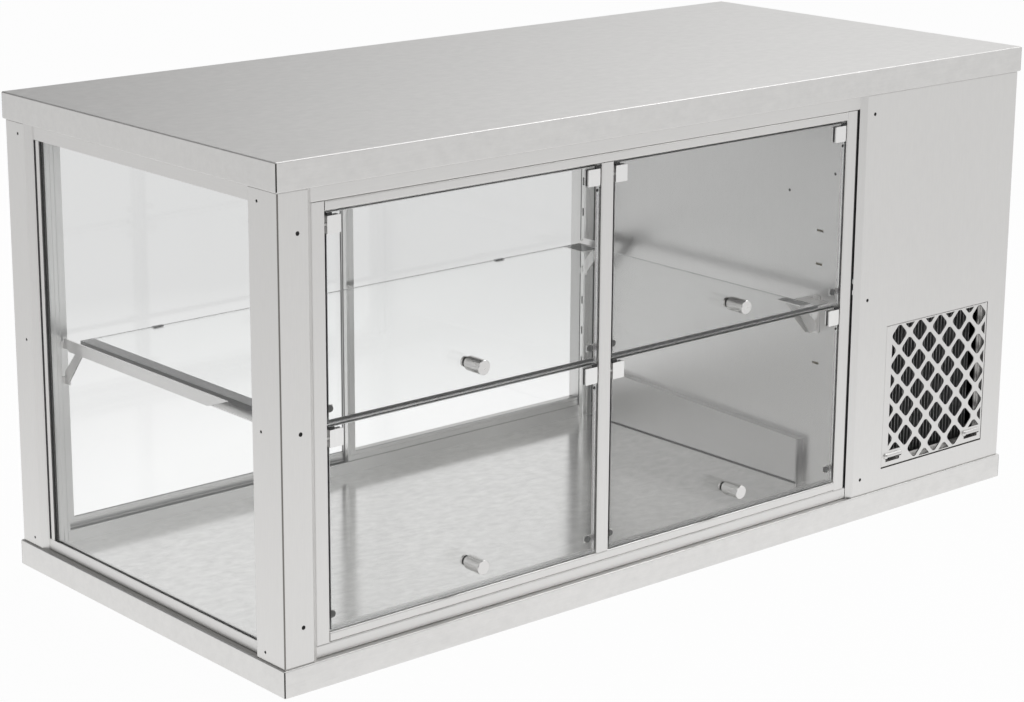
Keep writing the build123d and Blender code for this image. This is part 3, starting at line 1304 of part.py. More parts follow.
def fan_motor():
    """Motor behind the fan, held by a cross arm on the shroud, with its shaft."""
    x, z = fan_centre()
    back = shroud_span()[1]
    hub_back = (sum(shroud_span())) / 2 + 1.0 + FAN_DEPTH / 2
    start = max(back, hub_back) + 4.0
    motor = rod((x, start, z), (0, 1, 0), MOTOR_DIAMETER, MOTOR_LENGTH)
    motor = fillet(motor.edges().filter_by(GeomType.CIRCLE), 5.0)
    half = FAN_DIAMETER / 2 + FAN_OPENING_CLEARANCE + 8.0
    for size in ((half, MOTOR_ARM_WIDTH / 2), (MOTOR_ARM_WIDTH / 2, half)):
        motor += block((x - size[0], x + size[0]), (start, start + SHEET), (z - size[1], z + size[1]))
    for dx, dz in ((-half, 0), (half, 0), (0, -half), (0, half)):
        reach = MOTOR_ARM_WIDTH / 2
        foot_x, foot_z = x + dx * (1 - reach / half), z + dz * (1 - reach / half)
        motor += block(
            (foot_x - reach, foot_x + reach), (back, start + SHEET), (foot_z - reach, foot_z + reach)
        )
    shaft = FAN_SHAFT_DIAMETER
    return motor + rod((x, start + 2, z), (0, -1, 0), shaft, start + 2 - (hub_back - FAN_DEPTH + 5.0))


def rounded_can(start, diameter, height):
    """Upright can with a domed top and a rounded bottom."""
    can = rod(start, (0, 0, 1), diameter, height)
    can = fillet(can.edges().sort_by(Axis.Z)[-1], diameter * 0.275)
    return fillet(can.edges().filter_by(GeomType.CIRCLE).sort_by(Axis.Z)[0], diameter * 0.15)


def compressor():
    """Hermetic compressor on a base plate with four feet."""
    x, y = COMPRESSOR_X, COMPRESSOR_Y
    bottom = Z_BASE + COMPRESSOR_FOOT_HEIGHT
    radius = COMPRESSOR_DIAMETER / 2
    can = rounded_can((x, y, bottom), COMPRESSOR_DIAMETER, COMPRESSOR_HEIGHT)
    wall = COMPRESSOR_WALL
    hollow = rounded_can((x, y, bottom + wall), COMPRESSOR_DIAMETER - 2 * wall, COMPRESSOR_HEIGHT - 2 * wall)
    can += rod((x, y, bottom + COMPRESSOR_HEIGHT * 0.55), (0, 0, 1), COMPRESSOR_DIAMETER + 6, 4)
    half_x, half_y = COMPRESSOR_FOOT_SPACING[0] / 2, COMPRESSOR_FOOT_SPACING[1] / 2
    plate = block((x - half_x - 12, x + half_x + 12), (y - half_y - 12, y + half_y + 12), (bottom - 3, bottom + 1))
    can += plate
    for dx in (-half_x, half_x):
        for dy in (-half_y, half_y):
            can += rod((x + dx, y + dy, Z_BASE), (0, 0, 1), 22, COMPRESSOR_FOOT_HEIGHT - 2)
    box_front = y - radius - 26
    can += block((x - 30, x + 30), (box_front, y - radius + 12), (bottom + 40, bottom + 105))
    return can - hollow


def pipe(*points):
    """Round tube bent along the points, starting along the first leg."""
    path = FilletPolyline(*points, radius=12.0)
    profile = Plane(origin=path @ 0, z_dir=path % 0) * Circle(PIPE_DIAMETER / 2)
    return sweep(profile, path=path)


def pipework():
    """Discharge, liquid and suction lines with the filter drier."""
    top = Z_BASE + COMPRESSOR_FOOT_HEIGHT + COMPRESSOR_HEIGHT
    high = CONDENSER_BOTTOM + CONDENSER_HEIGHT * (CONDENSER_TUBE_ROWS - 0.5) / CONDENSER_TUBE_ROWS
    low = CONDENSER_BOTTOM + CONDENSER_HEIGHT * 0.5 / CONDENSER_TUBE_ROWS
    coil_y = CONDENSER_FRONT + CONDENSER_DEPTH / 2
    coil_x = CONDENSER_LEFT + CONDENSER_WIDTH + 3
    discharge = pipe(
        (COMPRESSOR_X + 20, COMPRESSOR_Y, top),
        (COMPRESSOR_X + 20, COMPRESSOR_Y, high),
        (coil_x + 28, COMPRESSOR_Y, high),
        (coil_x + 28, coil_y, high),
        (coil_x, coil_y, high),
    )
    drier_y = coil_y + 90
    liquid = pipe((coil_x, coil_y, low), (coil_x + 28, coil_y, low), (coil_x + 28, drier_y, low))
    liquid += rod((coil_x + 28, drier_y, low), (0, 1, 0), DRIER_DIAMETER, DRIER_LENGTH)
    pass_low, pass_high = PIPE_PASS_HEIGHTS
    end_x = EVAPORATOR_RIGHT + 3
    liquid += pipe(
        (coil_x + 28, drier_y + DRIER_LENGTH, low),
        (coil_x + 28, PIPE_PASS_Y + 90, low),
        (coil_x + 28, PIPE_PASS_Y + 90, pass_high - 60),
        (coil_x - 40, PIPE_PASS_Y + 90, pass_high - 60),
        (coil_x - 40, PIPE_PASS_Y, pass_high - 60),
        (coil_x - 40, PIPE_PASS_Y, pass_high),
        (end_x, PIPE_PASS_Y, pass_high),
    )
    suction = pipe(
        (end_x, PIPE_PASS_Y, pass_low),
        (COMPRESSOR_X - 25, PIPE_PASS_Y, pass_low),
        (COMPRESSOR_X - 25, PIPE_PASS_Y, top + 30),
        (COMPRESSOR_X - 25, COMPRESSOR_Y, top + 30),
        (COMPRESSOR_X - 25, COMPRESSOR_Y, top),
    )
    return group([discharge, liquid, suction])


# Evaporator
def evaporator():
    """Finned coil under the ceiling, hung from four straps."""
    y_span = (EVAPORATOR_FRONT, EVAPORATOR_FRONT + EVAPORATOR_DEPTH)
    z_span = (EVAPORATOR_BOTTOM, EVAPORATOR_BOTTOM + EVAPORATOR_HEIGHT)
    length = EVAPORATOR_RIGHT - EVAPORATOR_LEFT
    count = int(length / EVAPORATOR_FIN_PITCH)
    pieces = []
    for index in range(count + 1):
        x = EVAPORATOR_LEFT + FIN_SHEET + index * (length - 2 * FIN_SHEET) / count
        pieces.append(block((x - FIN_SHEET / 2, x + FIN_SHEET / 2), y_span, z_span))
    for z in PIPE_PASS_HEIGHTS:
        for index in range(EVAPORATOR_TUBE_ROWS):
            y = y_span[0] + EVAPORATOR_DEPTH * (index + 0.5) / EVAPORATOR_TUBE_ROWS
            pieces.append(rod((EVAPORATOR_LEFT, y, z), (1, 0, 0), COIL_TUBE_DIAMETER, length))
    header = block(
        (EVAPORATOR_RIGHT - 2.0, EVAPORATOR_RIGHT + 3.0), (y_span[0] + 10, y_span[1] - 10), z_span
    )
    pieces.append(header)
    for x in (EVAPORATOR_LEFT + 60, EVAPORATOR_RIGHT - 60):
        for y in (y_span[0] - SHEET, y_span[1]):
            pieces.append(block((x, x + HANGER_WIDTH), (y, y + SHEET), (TRAY_BOTTOM + SHEET, CEILING)))
    return pieces[0].fuse(*pieces[1:])


def drip_tray():
    """Shallow tray under the evaporator."""
    x_span = (EVAPORATOR_LEFT - TRAY_MARGIN, EVAPORATOR_RIGHT + TRAY_MARGIN)
    y_span = (EVAPORATOR_FRONT - TRAY_MARGIN, EVAPORATOR_FRONT + EVAPORATOR_DEPTH + TRAY_MARGIN)
    tray = block(x_span, y_span, (TRAY_BOTTOM, TRAY_BOTTOM + TRAY_HEIGHT))
    return tray - block(
        (x_span[0] + SHEET, x_span[1] - SHEET),
        (y_span[0] + SHEET, y_span[1] - SHEET),
        (TRAY_BOTTOM + SHEET, TRAY_BOTTOM + TRAY_HEIGHT),
    )


# Controls
def panel_spans():
    """Outline of the recessed control panel."""
    return (PANEL_LEFT, PANEL_LEFT + PANEL_WIDTH), (PANEL_BOTTOM, PANEL_BOTTOM + PANEL_HEIGHT)


def control_panel():
    """Recessed pan on the rear cover for the dial, the switch and the inlet."""
    x_span, z_span = panel_spans()
    inner_x = (x_span[0] + SHEET, x_span[1] - SHEET)
    inner_z = (z_span[0] + SHEET, z_span[1] - SHEET)
    back = Y_REAR - PANEL_RECESS
    panel = block((x_span[0] + GAP, x_span[1] - GAP), (back, Y_REAR), (z_span[0] + GAP, z_span[1] - GAP))
    panel -= block(inner_x, (back + SHEET, Y_REAR), inner_z)
    z = CONTROL_Z
    panel -= rod((DIAL_X, back - 1, z), (0, 1, 0), DIAL_SHAFT_DIAMETER + 2 * RUNNING_FIT, 5)
    frame = SWITCH_FRAME
    panel += block(
        (SWITCH_X - SWITCH_WIDTH / 2 - frame, SWITCH_X + SWITCH_WIDTH / 2 + frame),
        (back, back + SHEET + frame),
        (z - SWITCH_HEIGHT / 2 - frame, z + SWITCH_HEIGHT / 2 + frame),
    )
    panel -= block(
        (SWITCH_X - SWITCH_WIDTH / 2, SWITCH_X + SWITCH_WIDTH / 2),
        (back, back + SHEET + frame),
        (z - SWITCH_HEIGHT / 2, z + SWITCH_HEIGHT / 2),
    )
    panel -= block(
        (INLET_X - INLET_WIDTH / 2, INLET_X + INLET_WIDTH / 2),
        (back, back + SHEET),
        (z - INLET_HEIGHT / 2, z + INLET_HEIGHT / 2),
    )
    reach = SWITCH_WIDTH / 2 + ROCKER_PIN_REACH + GAP
    bore = rod(
        (SWITCH_X - reach, rocker_pivot(), z), (1, 0, 0), ROCKER_PIN_DIAMETER + 2 * RUNNING_FIT, 2 * reach
    )
    return panel - bore


def thermostat_dial():
    """Turning dial with a pointer rib and its spindle."""
    z = CONTROL_Z
    front = Y_REAR - PANEL_RECESS + SHEET + GAP
    dial = rod((DIAL_X, front, z), (0, 1, 0), DIAL_DIAMETER, DIAL_LENGTH)
    dial = chamfer(dial.edges().filter_by(GeomType.CIRCLE).sort_by(Axis.Y)[-1], 1.5)
    dial += block(
        (DIAL_X - 2.0, DIAL_X + 2.0), (front + DIAL_LENGTH - 1, front + DIAL_LENGTH + 1.5), (z, z + DIAL_DIAMETER / 2 - 3)
    )
    return dial + rod((DIAL_X, front + 1, z), (0, -1, 0), DIAL_SHAFT_DIAMETER, 12)


def rocker_pivot():
    """Depth of the rocker axis, inside the frame of the switch."""
    return Y_REAR - PANEL_RECESS + (SHEET + SWITCH_FRAME) / 2


def rocker_switch():
    """Rocker cap with a hollow face that tips on two pins in the frame of the switch."""
    z = CONTROL_Z
    y = rocker_pivot()
    half = SWITCH_WIDTH / 2 - GAP
    limit_z = SWITCH_HEIGHT / 2 - 1.2
    cap = polygon(
        (y - 4.0, z - limit_z + 2.0),
        (y + 1.0, z - limit_z),
        (y + 6.0, z - limit_z),
        (y + 4.0, z),
        (y + 6.0, z + limit_z),
        (y + 1.0, z + limit_z),
        (y - 4.0, z + limit_z - 2.0),
    )
    reach = SWITCH_WIDTH / 2 + ROCKER_PIN_REACH
    pins = rod((SWITCH_X - reach, y, z), (1, 0, 0), ROCKER_PIN_DIAMETER, 2 * reach)
    return along_x(cap, (SWITCH_X - half, SWITCH_X + half)) + pins


def power_inlet():
    """Mains inlet with three flat pins, set in the panel."""
    z = CONTROL_Z
    back = Y_REAR - PANEL_RECESS
    half_x, half_z = INLET_WIDTH / 2, INLET_HEIGHT / 2
    inlet = block(
        (INLET_X - half_x, INLET_X + half_x), (back + SHEET - INLET_DEPTH, back + SHEET + 1.0), (z - half_z, z + half_z)
    )
    inlet -= block(
        (INLET_X - half_x + 2, INLET_X + half_x - 2),
        (back + SHEET - INLET_DEPTH + 3, back + SHEET + 1.0),
        (z - half_z + 2, z + half_z - 2),
    )
    for dx, dz in ((-7.0, -2.0), (0.0, 2.0), (7.0, -2.0)):
        inlet += block(
            (INLET_X + dx - 1, INLET_X + dx + 1),
            (back + SHEET - INLET_DEPTH + 1, back - 3.0),
            (z + dz - 2.5, z + dz + 2.5),
        )
    return inlet


def electrics_box():
    """Housing behind the control panel for the thermostat, the switch and the wiring."""
    x_span, z_span = panel_spans()
    front = Y_REAR - PANEL_RECESS - GAP
    box = block((x_span[0], x_span[1]), (front - ELECTRICS_DEPTH, front), z_span)
    box -= block(
        (x_span[0] + SHEET, x_span[1] - SHEET),
        (front - ELECTRICS_DEPTH + SHEET, front),
        (z_span[0] + SHEET, z_span[1] - SHEET),
    )
    return box


def build_case():
    """Write the fixed pieces of the case."""
    save(base_pan(), "base_pan")
    save(top_panel(), "top_panel")
    save(insulation_boards(), "insulation_boards")
    save(display_floor(), "display_floor")
    save(ceiling_liner(), "ceiling_liner")
    save(front_left_post(), "front_left_post")
    save(rear_left_post(), "rear_left_post")
    save(group([side_sill(), side_top_rail(), side_stile()]), "side_rails")
    save(side_glass(), "side_glass")
    save(glass_seals(), "glass_seals")
    save(group([front_top_rail(), front_bottom_rail()]), "front_rails")
    save(frame_rails(), "frame_rails")
    save(frame_stiles(), "frame_stiles")
    save(frame_mullion(), "frame_mullion")
    save(door_bumpers(), "door_bumpers")
    save(bulkhead_liner(), "bulkhead_liner")
    save(machine_partition(), "machine_partition")
    save(wall_cover(), "wall_cover")
    save(rear_rails(), "rear_rails")
    save(rear_uprights(), "rear_uprights")
    save(rear_jamb(), "rear_jamb")
    save(group([bottom_track(), top_track()]), "door_tracks")


def build_doors():
    """Write the four flaps and the two service doors."""
    for side, start in zip(("left", "right"), OPENING_STARTS):
        for level, z_span in (("upper", UPPER_FLAP_SPAN), ("lower", LOWER_FLAP_SPAN)):
            save(flap_glass(start, z_span), f"flap_glass_{level}_{side}")
            save(flap_clips(start, z_span), f"flap_clips_{level}_{side}")
            save(flap_knob(start, z_span), f"flap_knob_{level}_{side}")
    left_edge, right_edge = door_left_edges()
    save(service_frame(left_edge, TRACK_CENTRES[1], True), "service_frame_left")
    save(service_pane(left_edge, TRACK_CENTRES[1]), "service_glass_left")
    save(service_frame(right_edge, TRACK_CENTRES[0], False), "service_frame_right")
    save(service_pane(right_edge, TRACK_CENTRES[0]), "service_glass_right")


def build_shelf():
    """Write the shelf and its brackets."""
    save(shelf_glass(), "shelf_glass")
    save(shelf_stops(), "shelf_stops")
    save(left_shelf_bracket(), "left_shelf_bracket")
    save(right_shelf_brackets(), "right_shelf_brackets")


def build_machine():
    """Write the machine covers, the condensing unit, the evaporator and the controls."""
    save(machine_front_cover(), "machine_front_cover")
    save(machine_side_cover(), "machine_side_cover")
    save(machine_rear_cover(), "machine_rear_cover")
    save(grille(), "grille")
    save(condenser(), "condenser")
    save(fan_shroud(), "fan_shroud")
    save(fan_motor(), "fan_motor")
    save(fan_blade(), "fan_blade")
    save(compressor(), "compressor")
    save(pipework(), "pipework")
    save(evaporator(), "evaporator")
    save(drip_tray(), "drip_tray")
    save(control_panel(), "control_panel")
    save(electrics_box(), "electrics_box")
    save(thermostat_dial(), "thermostat_dial")
    save(rocker_switch(), "rocker_switch")
    save(power_inlet(), "power_inlet")


build_case()
build_doors()
build_shelf()
build_machine()
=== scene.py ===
"""Dressed model of a countertop refrigerated display case, with its studio and camera.

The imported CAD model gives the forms. This script gives every piece its finish, adds the fine pieces that
are lighter as surfaces, and sets a plain studio with the camera of the reference view.
"""
import logging
import math
from dataclasses import dataclass, field, replace
from enum import Enum

import bmesh
import bpy
import numpy as np
from mathutils import Euler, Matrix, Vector


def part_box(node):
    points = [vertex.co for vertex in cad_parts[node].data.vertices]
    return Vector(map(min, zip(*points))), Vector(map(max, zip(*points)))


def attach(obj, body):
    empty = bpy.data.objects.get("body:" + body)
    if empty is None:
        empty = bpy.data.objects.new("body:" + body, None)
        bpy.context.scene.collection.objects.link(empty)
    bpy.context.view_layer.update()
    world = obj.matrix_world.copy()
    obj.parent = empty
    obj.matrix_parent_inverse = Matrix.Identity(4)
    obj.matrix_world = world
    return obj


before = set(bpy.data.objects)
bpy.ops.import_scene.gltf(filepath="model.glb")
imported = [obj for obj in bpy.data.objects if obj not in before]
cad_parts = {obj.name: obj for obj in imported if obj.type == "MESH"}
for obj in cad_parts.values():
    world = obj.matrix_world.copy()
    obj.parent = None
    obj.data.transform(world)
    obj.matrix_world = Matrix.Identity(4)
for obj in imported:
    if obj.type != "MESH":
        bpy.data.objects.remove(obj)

LOG = logging.getLogger("display_case")
MILLIMETRE = 0.001
BEYOND = 10.0

# Sockets of the colour mix node: both colours and the result
MIX_FIRST, MIX_SECOND, MIX_RESULT = 6, 7, 2

# Noise settings: features per metre, octaves, weight of the fine octaves
CLOUD_NOISE = (5.0, 3.0, 0.55)
MOTTLE_NOISE = (85.0, 4.0, 0.62)
STREAK_NOISE = (900.0, 2.0, 0.5)
GLASS_NOISE = (6.0, 3.0, 0.5)
MOTTLE_STRETCH = 0.3

Socket = bpy.types.NodeSocket
Tree = bpy.types.NodeTree
Pair = tuple[float, float]
Triple = tuple[float, float, float]
Point = Colour = Triple
Skin = tuple[np.ndarray, list[tuple[int, ...]]]


class Grain(Enum):
    """Direction in which a brushed surface was worked, as stretch factors for the grain pattern."""

    ALONG_X = (0.045, 1.0, 1.0)
    ALONG_Y = (1.0, 0.045, 1.0)
    ALONG_Z = (1.0, 1.0, 0.045)


# Node helpers
class NodeSheet:
    """Small helper around one node tree that adds and links nodes in reading order."""

    def __init__(self, tree: Tree) -> None:
        """Keep the tree.

        Args:
            tree: node tree that receives the nodes.
        """
        self.tree = tree

    def add(self, kind: str, **settings: object) -> bpy.types.Node:
        """Add a node and set its properties.

        Args:
            kind: node type name.
            settings: property values by name.

        Returns:
            The new node.
        """
        node = self.tree.nodes.new(kind)
        for name, value in settings.items():
            setattr(node, name, value)
        return node

    def link(self, source: Socket, target: Socket) -> None:
        """Link an output socket to an input socket."""
        self.tree.links.new(source, target)

    def noise(self, vector: Socket, scale: float, detail: float, roughness: float) -> Socket:
        """Add a noise texture.

        Args:
            vector: coordinates.
            scale: features per metre.
            detail: octaves.
            roughness: weight of the fine octaves.

        Returns:
            The value output.
        """
        node = self.add("ShaderNodeTexNoise")
        node.inputs["Scale"].default_value = scale
        node.inputs["Detail"].default_value = detail
        node.inputs["Roughness"].default_value = roughness
        self.link(vector, node.inputs["Vector"])
        return node.outputs["Fac"]

    def span(self, value: Socket, source: Pair, target: Pair) -> Socket:
        """Map a value from one span to another, clamped.

        Args:
            value: input value.
            source: input span.
            target: output span.

        Returns:
            The mapped value.
        """
        node = self.add("ShaderNodeMapRange", clamp=True)
        for socket, number in zip(("From Min", "From Max", "To Min", "To Max"), (*source, *target)):
            node.inputs[socket].default_value = number
        self.link(value, node.inputs["Value"])
        return node.outputs["Result"]

    def blend(self, mask: Socket, colour: Socket, tone: Colour) -> Socket:
        """Blend a colour toward a fixed tone by a mask.

        Args:
            mask: zero for the colour, one for the tone.
            colour: colour socket.
            tone: fixed tone.

        Returns:
            The blended colour.
        """
        node = self.add("ShaderNodeMix", data_type="RGBA")
        self.link(mask, node.inputs["Factor"])
        self.link(colour, node.inputs[MIX_FIRST])
        node.inputs[MIX_SECOND].default_value = (*tone, 1.0)
        return node.outputs[MIX_RESULT]

    def place(self, tree: Tree, coordinates: Socket, values: dict[str, object]) -> bpy.types.Node:
        """Place a shared group with its own values.

        Args:
            tree: the group.
            coordinates: socket for its Coordinates input.
            values: values of its other inputs by name.

        Returns:
            The group node.
        """
        node = self.add("ShaderNodeGroup", node_tree=tree)
        self.link(coordinates, node.inputs["Coordinates"])
        for name, value in values.items():
            node.inputs[name].default_value = value
        return node

    def bump(self, height: Socket, strength: float, shader: bpy.types.Node) -> None:
        """Feed a height to a shader's normal through a bump of one millimetre.

        Args:
            height: height socket.
            strength: bump strength.
            shader: shader that gets the normal.
        """
        node = self.add("ShaderNodeBump")
        node.inputs["Strength"].default_value = strength
        node.inputs["Distance"].default_value = MILLIMETRE
        self.link(height, node.inputs["Height"])
        self.link(node.outputs["Normal"], shader.inputs["Normal"])

    def vector(self, operation: str, *values: Socket) -> Socket:
        """Add a vector math node.

        Args:
            operation: vector math operation name.
            values: its input sockets in order.

        Returns:
            The vector output.
        """
        node = self.add("ShaderNodeVectorMath", operation=operation)
        for value, socket in zip(values, node.inputs):
            self.link(value, socket)
        return node.outputs[0]

    def scaled(self, colour: Socket, factor: Socket) -> Socket:
        """Scale a colour by a factor."""
        node = self.add("ShaderNodeVectorMath", operation="SCALE")
        self.link(colour, node.inputs[0])
        self.link(factor, node.inputs["Scale"])
        return node.outputs[0]

    def split(self, vector: Socket) -> list[Socket]:
        """Split a vector into its X, Y and Z."""
        node = self.add("ShaderNodeSeparateXYZ")
        self.link(vector, node.inputs[0])
        return list(node.outputs)

    def mix(self, share: Socket, first: Socket, second: Socket, target: Socket) -> None:
        """Mix two shaders, with the share of the second, into a target socket."""
        node = self.add("ShaderNodeMixShader")
        for source, socket in zip((share, first, second), node.inputs):
            self.link(source, socket)
        self.link(node.outputs[0], target)

    def math(self, operation: str, first: object, second: object) -> Socket:
        """Add a two-input math node; inputs are sockets or numbers.

        Args:
            operation: math operation name.
            first: first socket or number.
            second: second socket or number.

        Returns:
            The value output.
        """
        node = self.add("ShaderNodeMath", operation=operation)
        for socket, value in zip(node.inputs, (first, second)):
            if isinstance(value, (int, float)):
                socket.default_value = value
            else:
                self.link(value, socket)
        return node.outputs["Value"]


SURFACE_OUTPUTS = [
    ("Color", "NodeSocketColor"), ("Roughness", "NodeSocketFloat"), ("Height", "NodeSocketFloat")
]
MASK_OUTPUT = [("Mask", "NodeSocketFloat")]


class SurfaceGroups:
    """Shader node groups shared by the finishes."""

    def __init__(self) -> None:
        """Build the groups once."""
        self.grain = self._grain_group()
        self.speckle = self._speckle_group()
        self.seam = self._corner_shade_group()
        self.edge = self._edge_group()

    @staticmethod
    def _open(
        name: str, inputs: list[tuple[str, str, object]], outputs: list[tuple[str, str]]
    ) -> tuple[NodeSheet, bpy.types.Node, bpy.types.Node]:
        """Make an empty group with its sockets.

        Args:
            name: group name.
            inputs: name, socket type and default of each input after the coordinates.
            outputs: name and socket type of each output.

        Returns:
            The group's node sheet, its input node and its output node.
        """
        group = bpy.data.node_groups.new(name, "ShaderNodeTree")
        group.interface.new_socket("Coordinates", in_out="INPUT", socket_type="NodeSocketVector")
        for label, kind, default in inputs:
            socket = group.interface.new_socket(label, in_out="INPUT", socket_type=kind)
            socket.default_value = default
        for label, kind in outputs:
            group.interface.new_socket(label, in_out="OUTPUT", socket_type=kind)
        sheet = NodeSheet(group)
        return sheet, sheet.add("NodeGroupInput"), sheet.add("NodeGroupOutput")

    def _grain_group(self) -> Tree:
        """Worked sheet metal: soft clouds, small mottling and fine streaks along the grain.

        Colour is the base colour times one plus the summed, zero-centred patterns. Roughness is the base
        roughness plus the clouds. Height is the streaks alone.

        Returns:
            The group.
        """
        sheet, entry, leave = self._open(
            "worked_metal",
            [
                ("Stretch", "NodeSocketVector", (1.0, 1.0, 1.0)),
                ("Base", "NodeSocketColor", (0.6, 0.6, 0.6, 1.0)),
                ("Cloud", "NodeSocketFloat", 0.04),
                ("Mottle", "NodeSocketFloat", 0.05),
                ("Streak", "NodeSocketFloat", 0.04),
                ("Gloss", "NodeSocketFloat", 0.35),
                ("Gloss Spread", "NodeSocketFloat", 0.08),
            ],
            SURFACE_OUTPUTS,
        )
        stretch = sheet.vector("MULTIPLY", entry.outputs["Coordinates"], entry.outputs["Stretch"])
        half = sheet.add("ShaderNodeMix", data_type="VECTOR")
        half.inputs["Factor"].default_value = MOTTLE_STRETCH
        sheet.link(entry.outputs["Coordinates"], half.inputs[4])
        sheet.link(stretch, half.inputs[5])
        cloud = sheet.noise(entry.outputs["Coordinates"], *CLOUD_NOISE)
        mottle = sheet.noise(half.outputs[1], *MOTTLE_NOISE)
        streak = sheet.noise(stretch, *STREAK_NOISE)
        total: object = 1.0
        for value, amount in ((cloud, "Cloud"), (mottle, "Mottle"), (streak, "Streak")):
            centred = sheet.math("SUBTRACT", value, 0.5)
            scaled = sheet.math("MULTIPLY", centred, entry.outputs[amount])
            total = sheet.math("ADD", sheet.math("MULTIPLY", scaled, 2.0), total)
        sheet.link(sheet.scaled(entry.outputs["Base"], total), leave.inputs["Color"])
        spread = sheet.math("MULTIPLY", sheet.math("SUBTRACT", mottle, 0.5), entry.outputs["Gloss Spread"])
        sheet.link(sheet.math("ADD", entry.outputs["Gloss"], spread), leave.inputs["Roughness"])
        sheet.link(streak, leave.inputs["Height"])
        return sheet.tree

    def _speckle_group(self) -> Tree:
        """Even surface with faint speckles for plastics, rubber, foam and enamel.

        Colour is the base colour times one plus a zero-centred noise. Roughness follows the same noise.

        Returns:
            The group.
        """
        sheet, entry, leave = self._open(
            "speckled_surface",
            [
                ("Base", "NodeSocketColor", (0.5, 0.5, 0.5, 1.0)),
                ("Scale", "NodeSocketFloat", 400.0),
                ("Amount", "NodeSocketFloat", 0.08),
                ("Gloss", "NodeSocketFloat", 0.5),
            ],
            SURFACE_OUTPUTS,
        )
        noise = sheet.add("ShaderNodeTexNoise")
        noise.inputs["Detail"].default_value = 4.0
        sheet.link(entry.outputs["Coordinates"], noise.inputs["Vector"])
        sheet.link(entry.outputs["Scale"], noise.inputs["Scale"])
        centred = sheet.math("SUBTRACT", noise.outputs["Fac"], 0.5)
        swing = sheet.math("MULTIPLY", centred, entry.outputs["Amount"])
        factor = sheet.math("ADD", sheet.math("MULTIPLY", swing, 2.0), 1.0)
        sheet.link(sheet.scaled(entry.outputs["Base"], factor), leave.inputs["Color"])
        sheet.link(sheet.math("ADD", entry.outputs["Gloss"], swing), leave.inputs["Roughness"])
        sheet.link(noise.outputs["Fac"], leave.inputs["Height"])
        return sheet.tree

    def _corner_shade_group(self) -> Tree:
        """Dark line down the upright corners of a folded box: at the top's and base's welded corner seams a
        real joint with painted shade in it, along the posts' folds painted shade alone.

        The sum of the distances from the middle planes, |x| + |y|, is largest at the corners. The mask is one
        where that sum passes the given reach, and zero elsewhere.

        Returns:
            The group.
        """
        sheet, entry, leave = self._open(
            "corner_shade_line",
            [("Reach", "NodeSocketFloat", 0.87)],
            MASK_OUTPUT,
        )
        x, y, _ = sheet.split(sheet.vector("ABSOLUTE", entry.outputs["Coordinates"]))
        total = sheet.math("ADD", x, y)
        sheet.link(sheet.math("GREATER_THAN", total, entry.outputs["Reach"]), leave.inputs["Mask"])
        return sheet.tree

    def _edge_group(self) -> Tree:
        """Cut edge of a glass pane.

        The distance from the pane's middle less the half size, taken axis by axis, is above zero only in the
        band along the cut edges. The mask is one there.

        Returns:
            The group.
        """
        sheet, entry, leave = self._open(
            "pane_edge",
            [
                ("Middle", "NodeSocketVector", (0.0, 0.0, 0.0)),
                ("Half Size", "NodeSocketVector", (1.0, 1.0, 1.0)),
            ],
            MASK_OUTPUT,
        )
        offset = sheet.vector("SUBTRACT", entry.outputs["Coordinates"], entry.outputs["Middle"])
        beyond = sheet.vector("SUBTRACT", sheet.vector("ABSOLUTE", offset), entry.outputs["Half Size"])
        x, y, z = sheet.split(beyond)
        most = sheet.math("MAXIMUM", sheet.math("MAXIMUM", x, y), z)
        sheet.link(sheet.math("GREATER_THAN", most, 0.0), leave.inputs["Mask"])
        return sheet.tree


GROUPS = SurfaceGroups()


def empty_sheet(holder: bpy.types.ID) -> NodeSheet:
    """Empty the node tree of a material or world and hand back its sheet."""
    holder.use_nodes = True
    holder.node_tree.nodes.clear()
    return NodeSheet(holder.node_tree)


def placed(name: str, data: bpy.types.ID) -> bpy.types.Object:
    """Make an object from its data and link it to the scene."""
    made = bpy.data.objects.new(name, data)
    bpy.context.scene.collection.objects.link(made)
    return made


def fresh_material(name: str) -> tuple[bpy.types.Material, NodeSheet, bpy.types.Node, Socket]:
    """Make a material with a Principled shader and object coordinates.

    Args:
        name: material name.

    Returns:
        The material, its node sheet, its shader and the coordinate socket.
    """
    material = bpy.data.materials.new(name)
    sheet = empty_sheet(material)
    output = sheet.add("ShaderNodeOutputMaterial")
    shader = sheet.add("ShaderNodeBsdfPrincipled")
    sheet.link(shader.outputs[0], output.inputs["Surface"])
    coordinates = sheet.add("ShaderNodeTexCoord").outputs["Object"]
    return material, sheet, shader, coordinates


# Finishes
# Grey of the cut glass edges: partly the rough ground edge, partly painted reflection of the dark seen in the
# edge
EDGE_SHADE_TONE: Colour = (0.55, 0.56, 0.555)


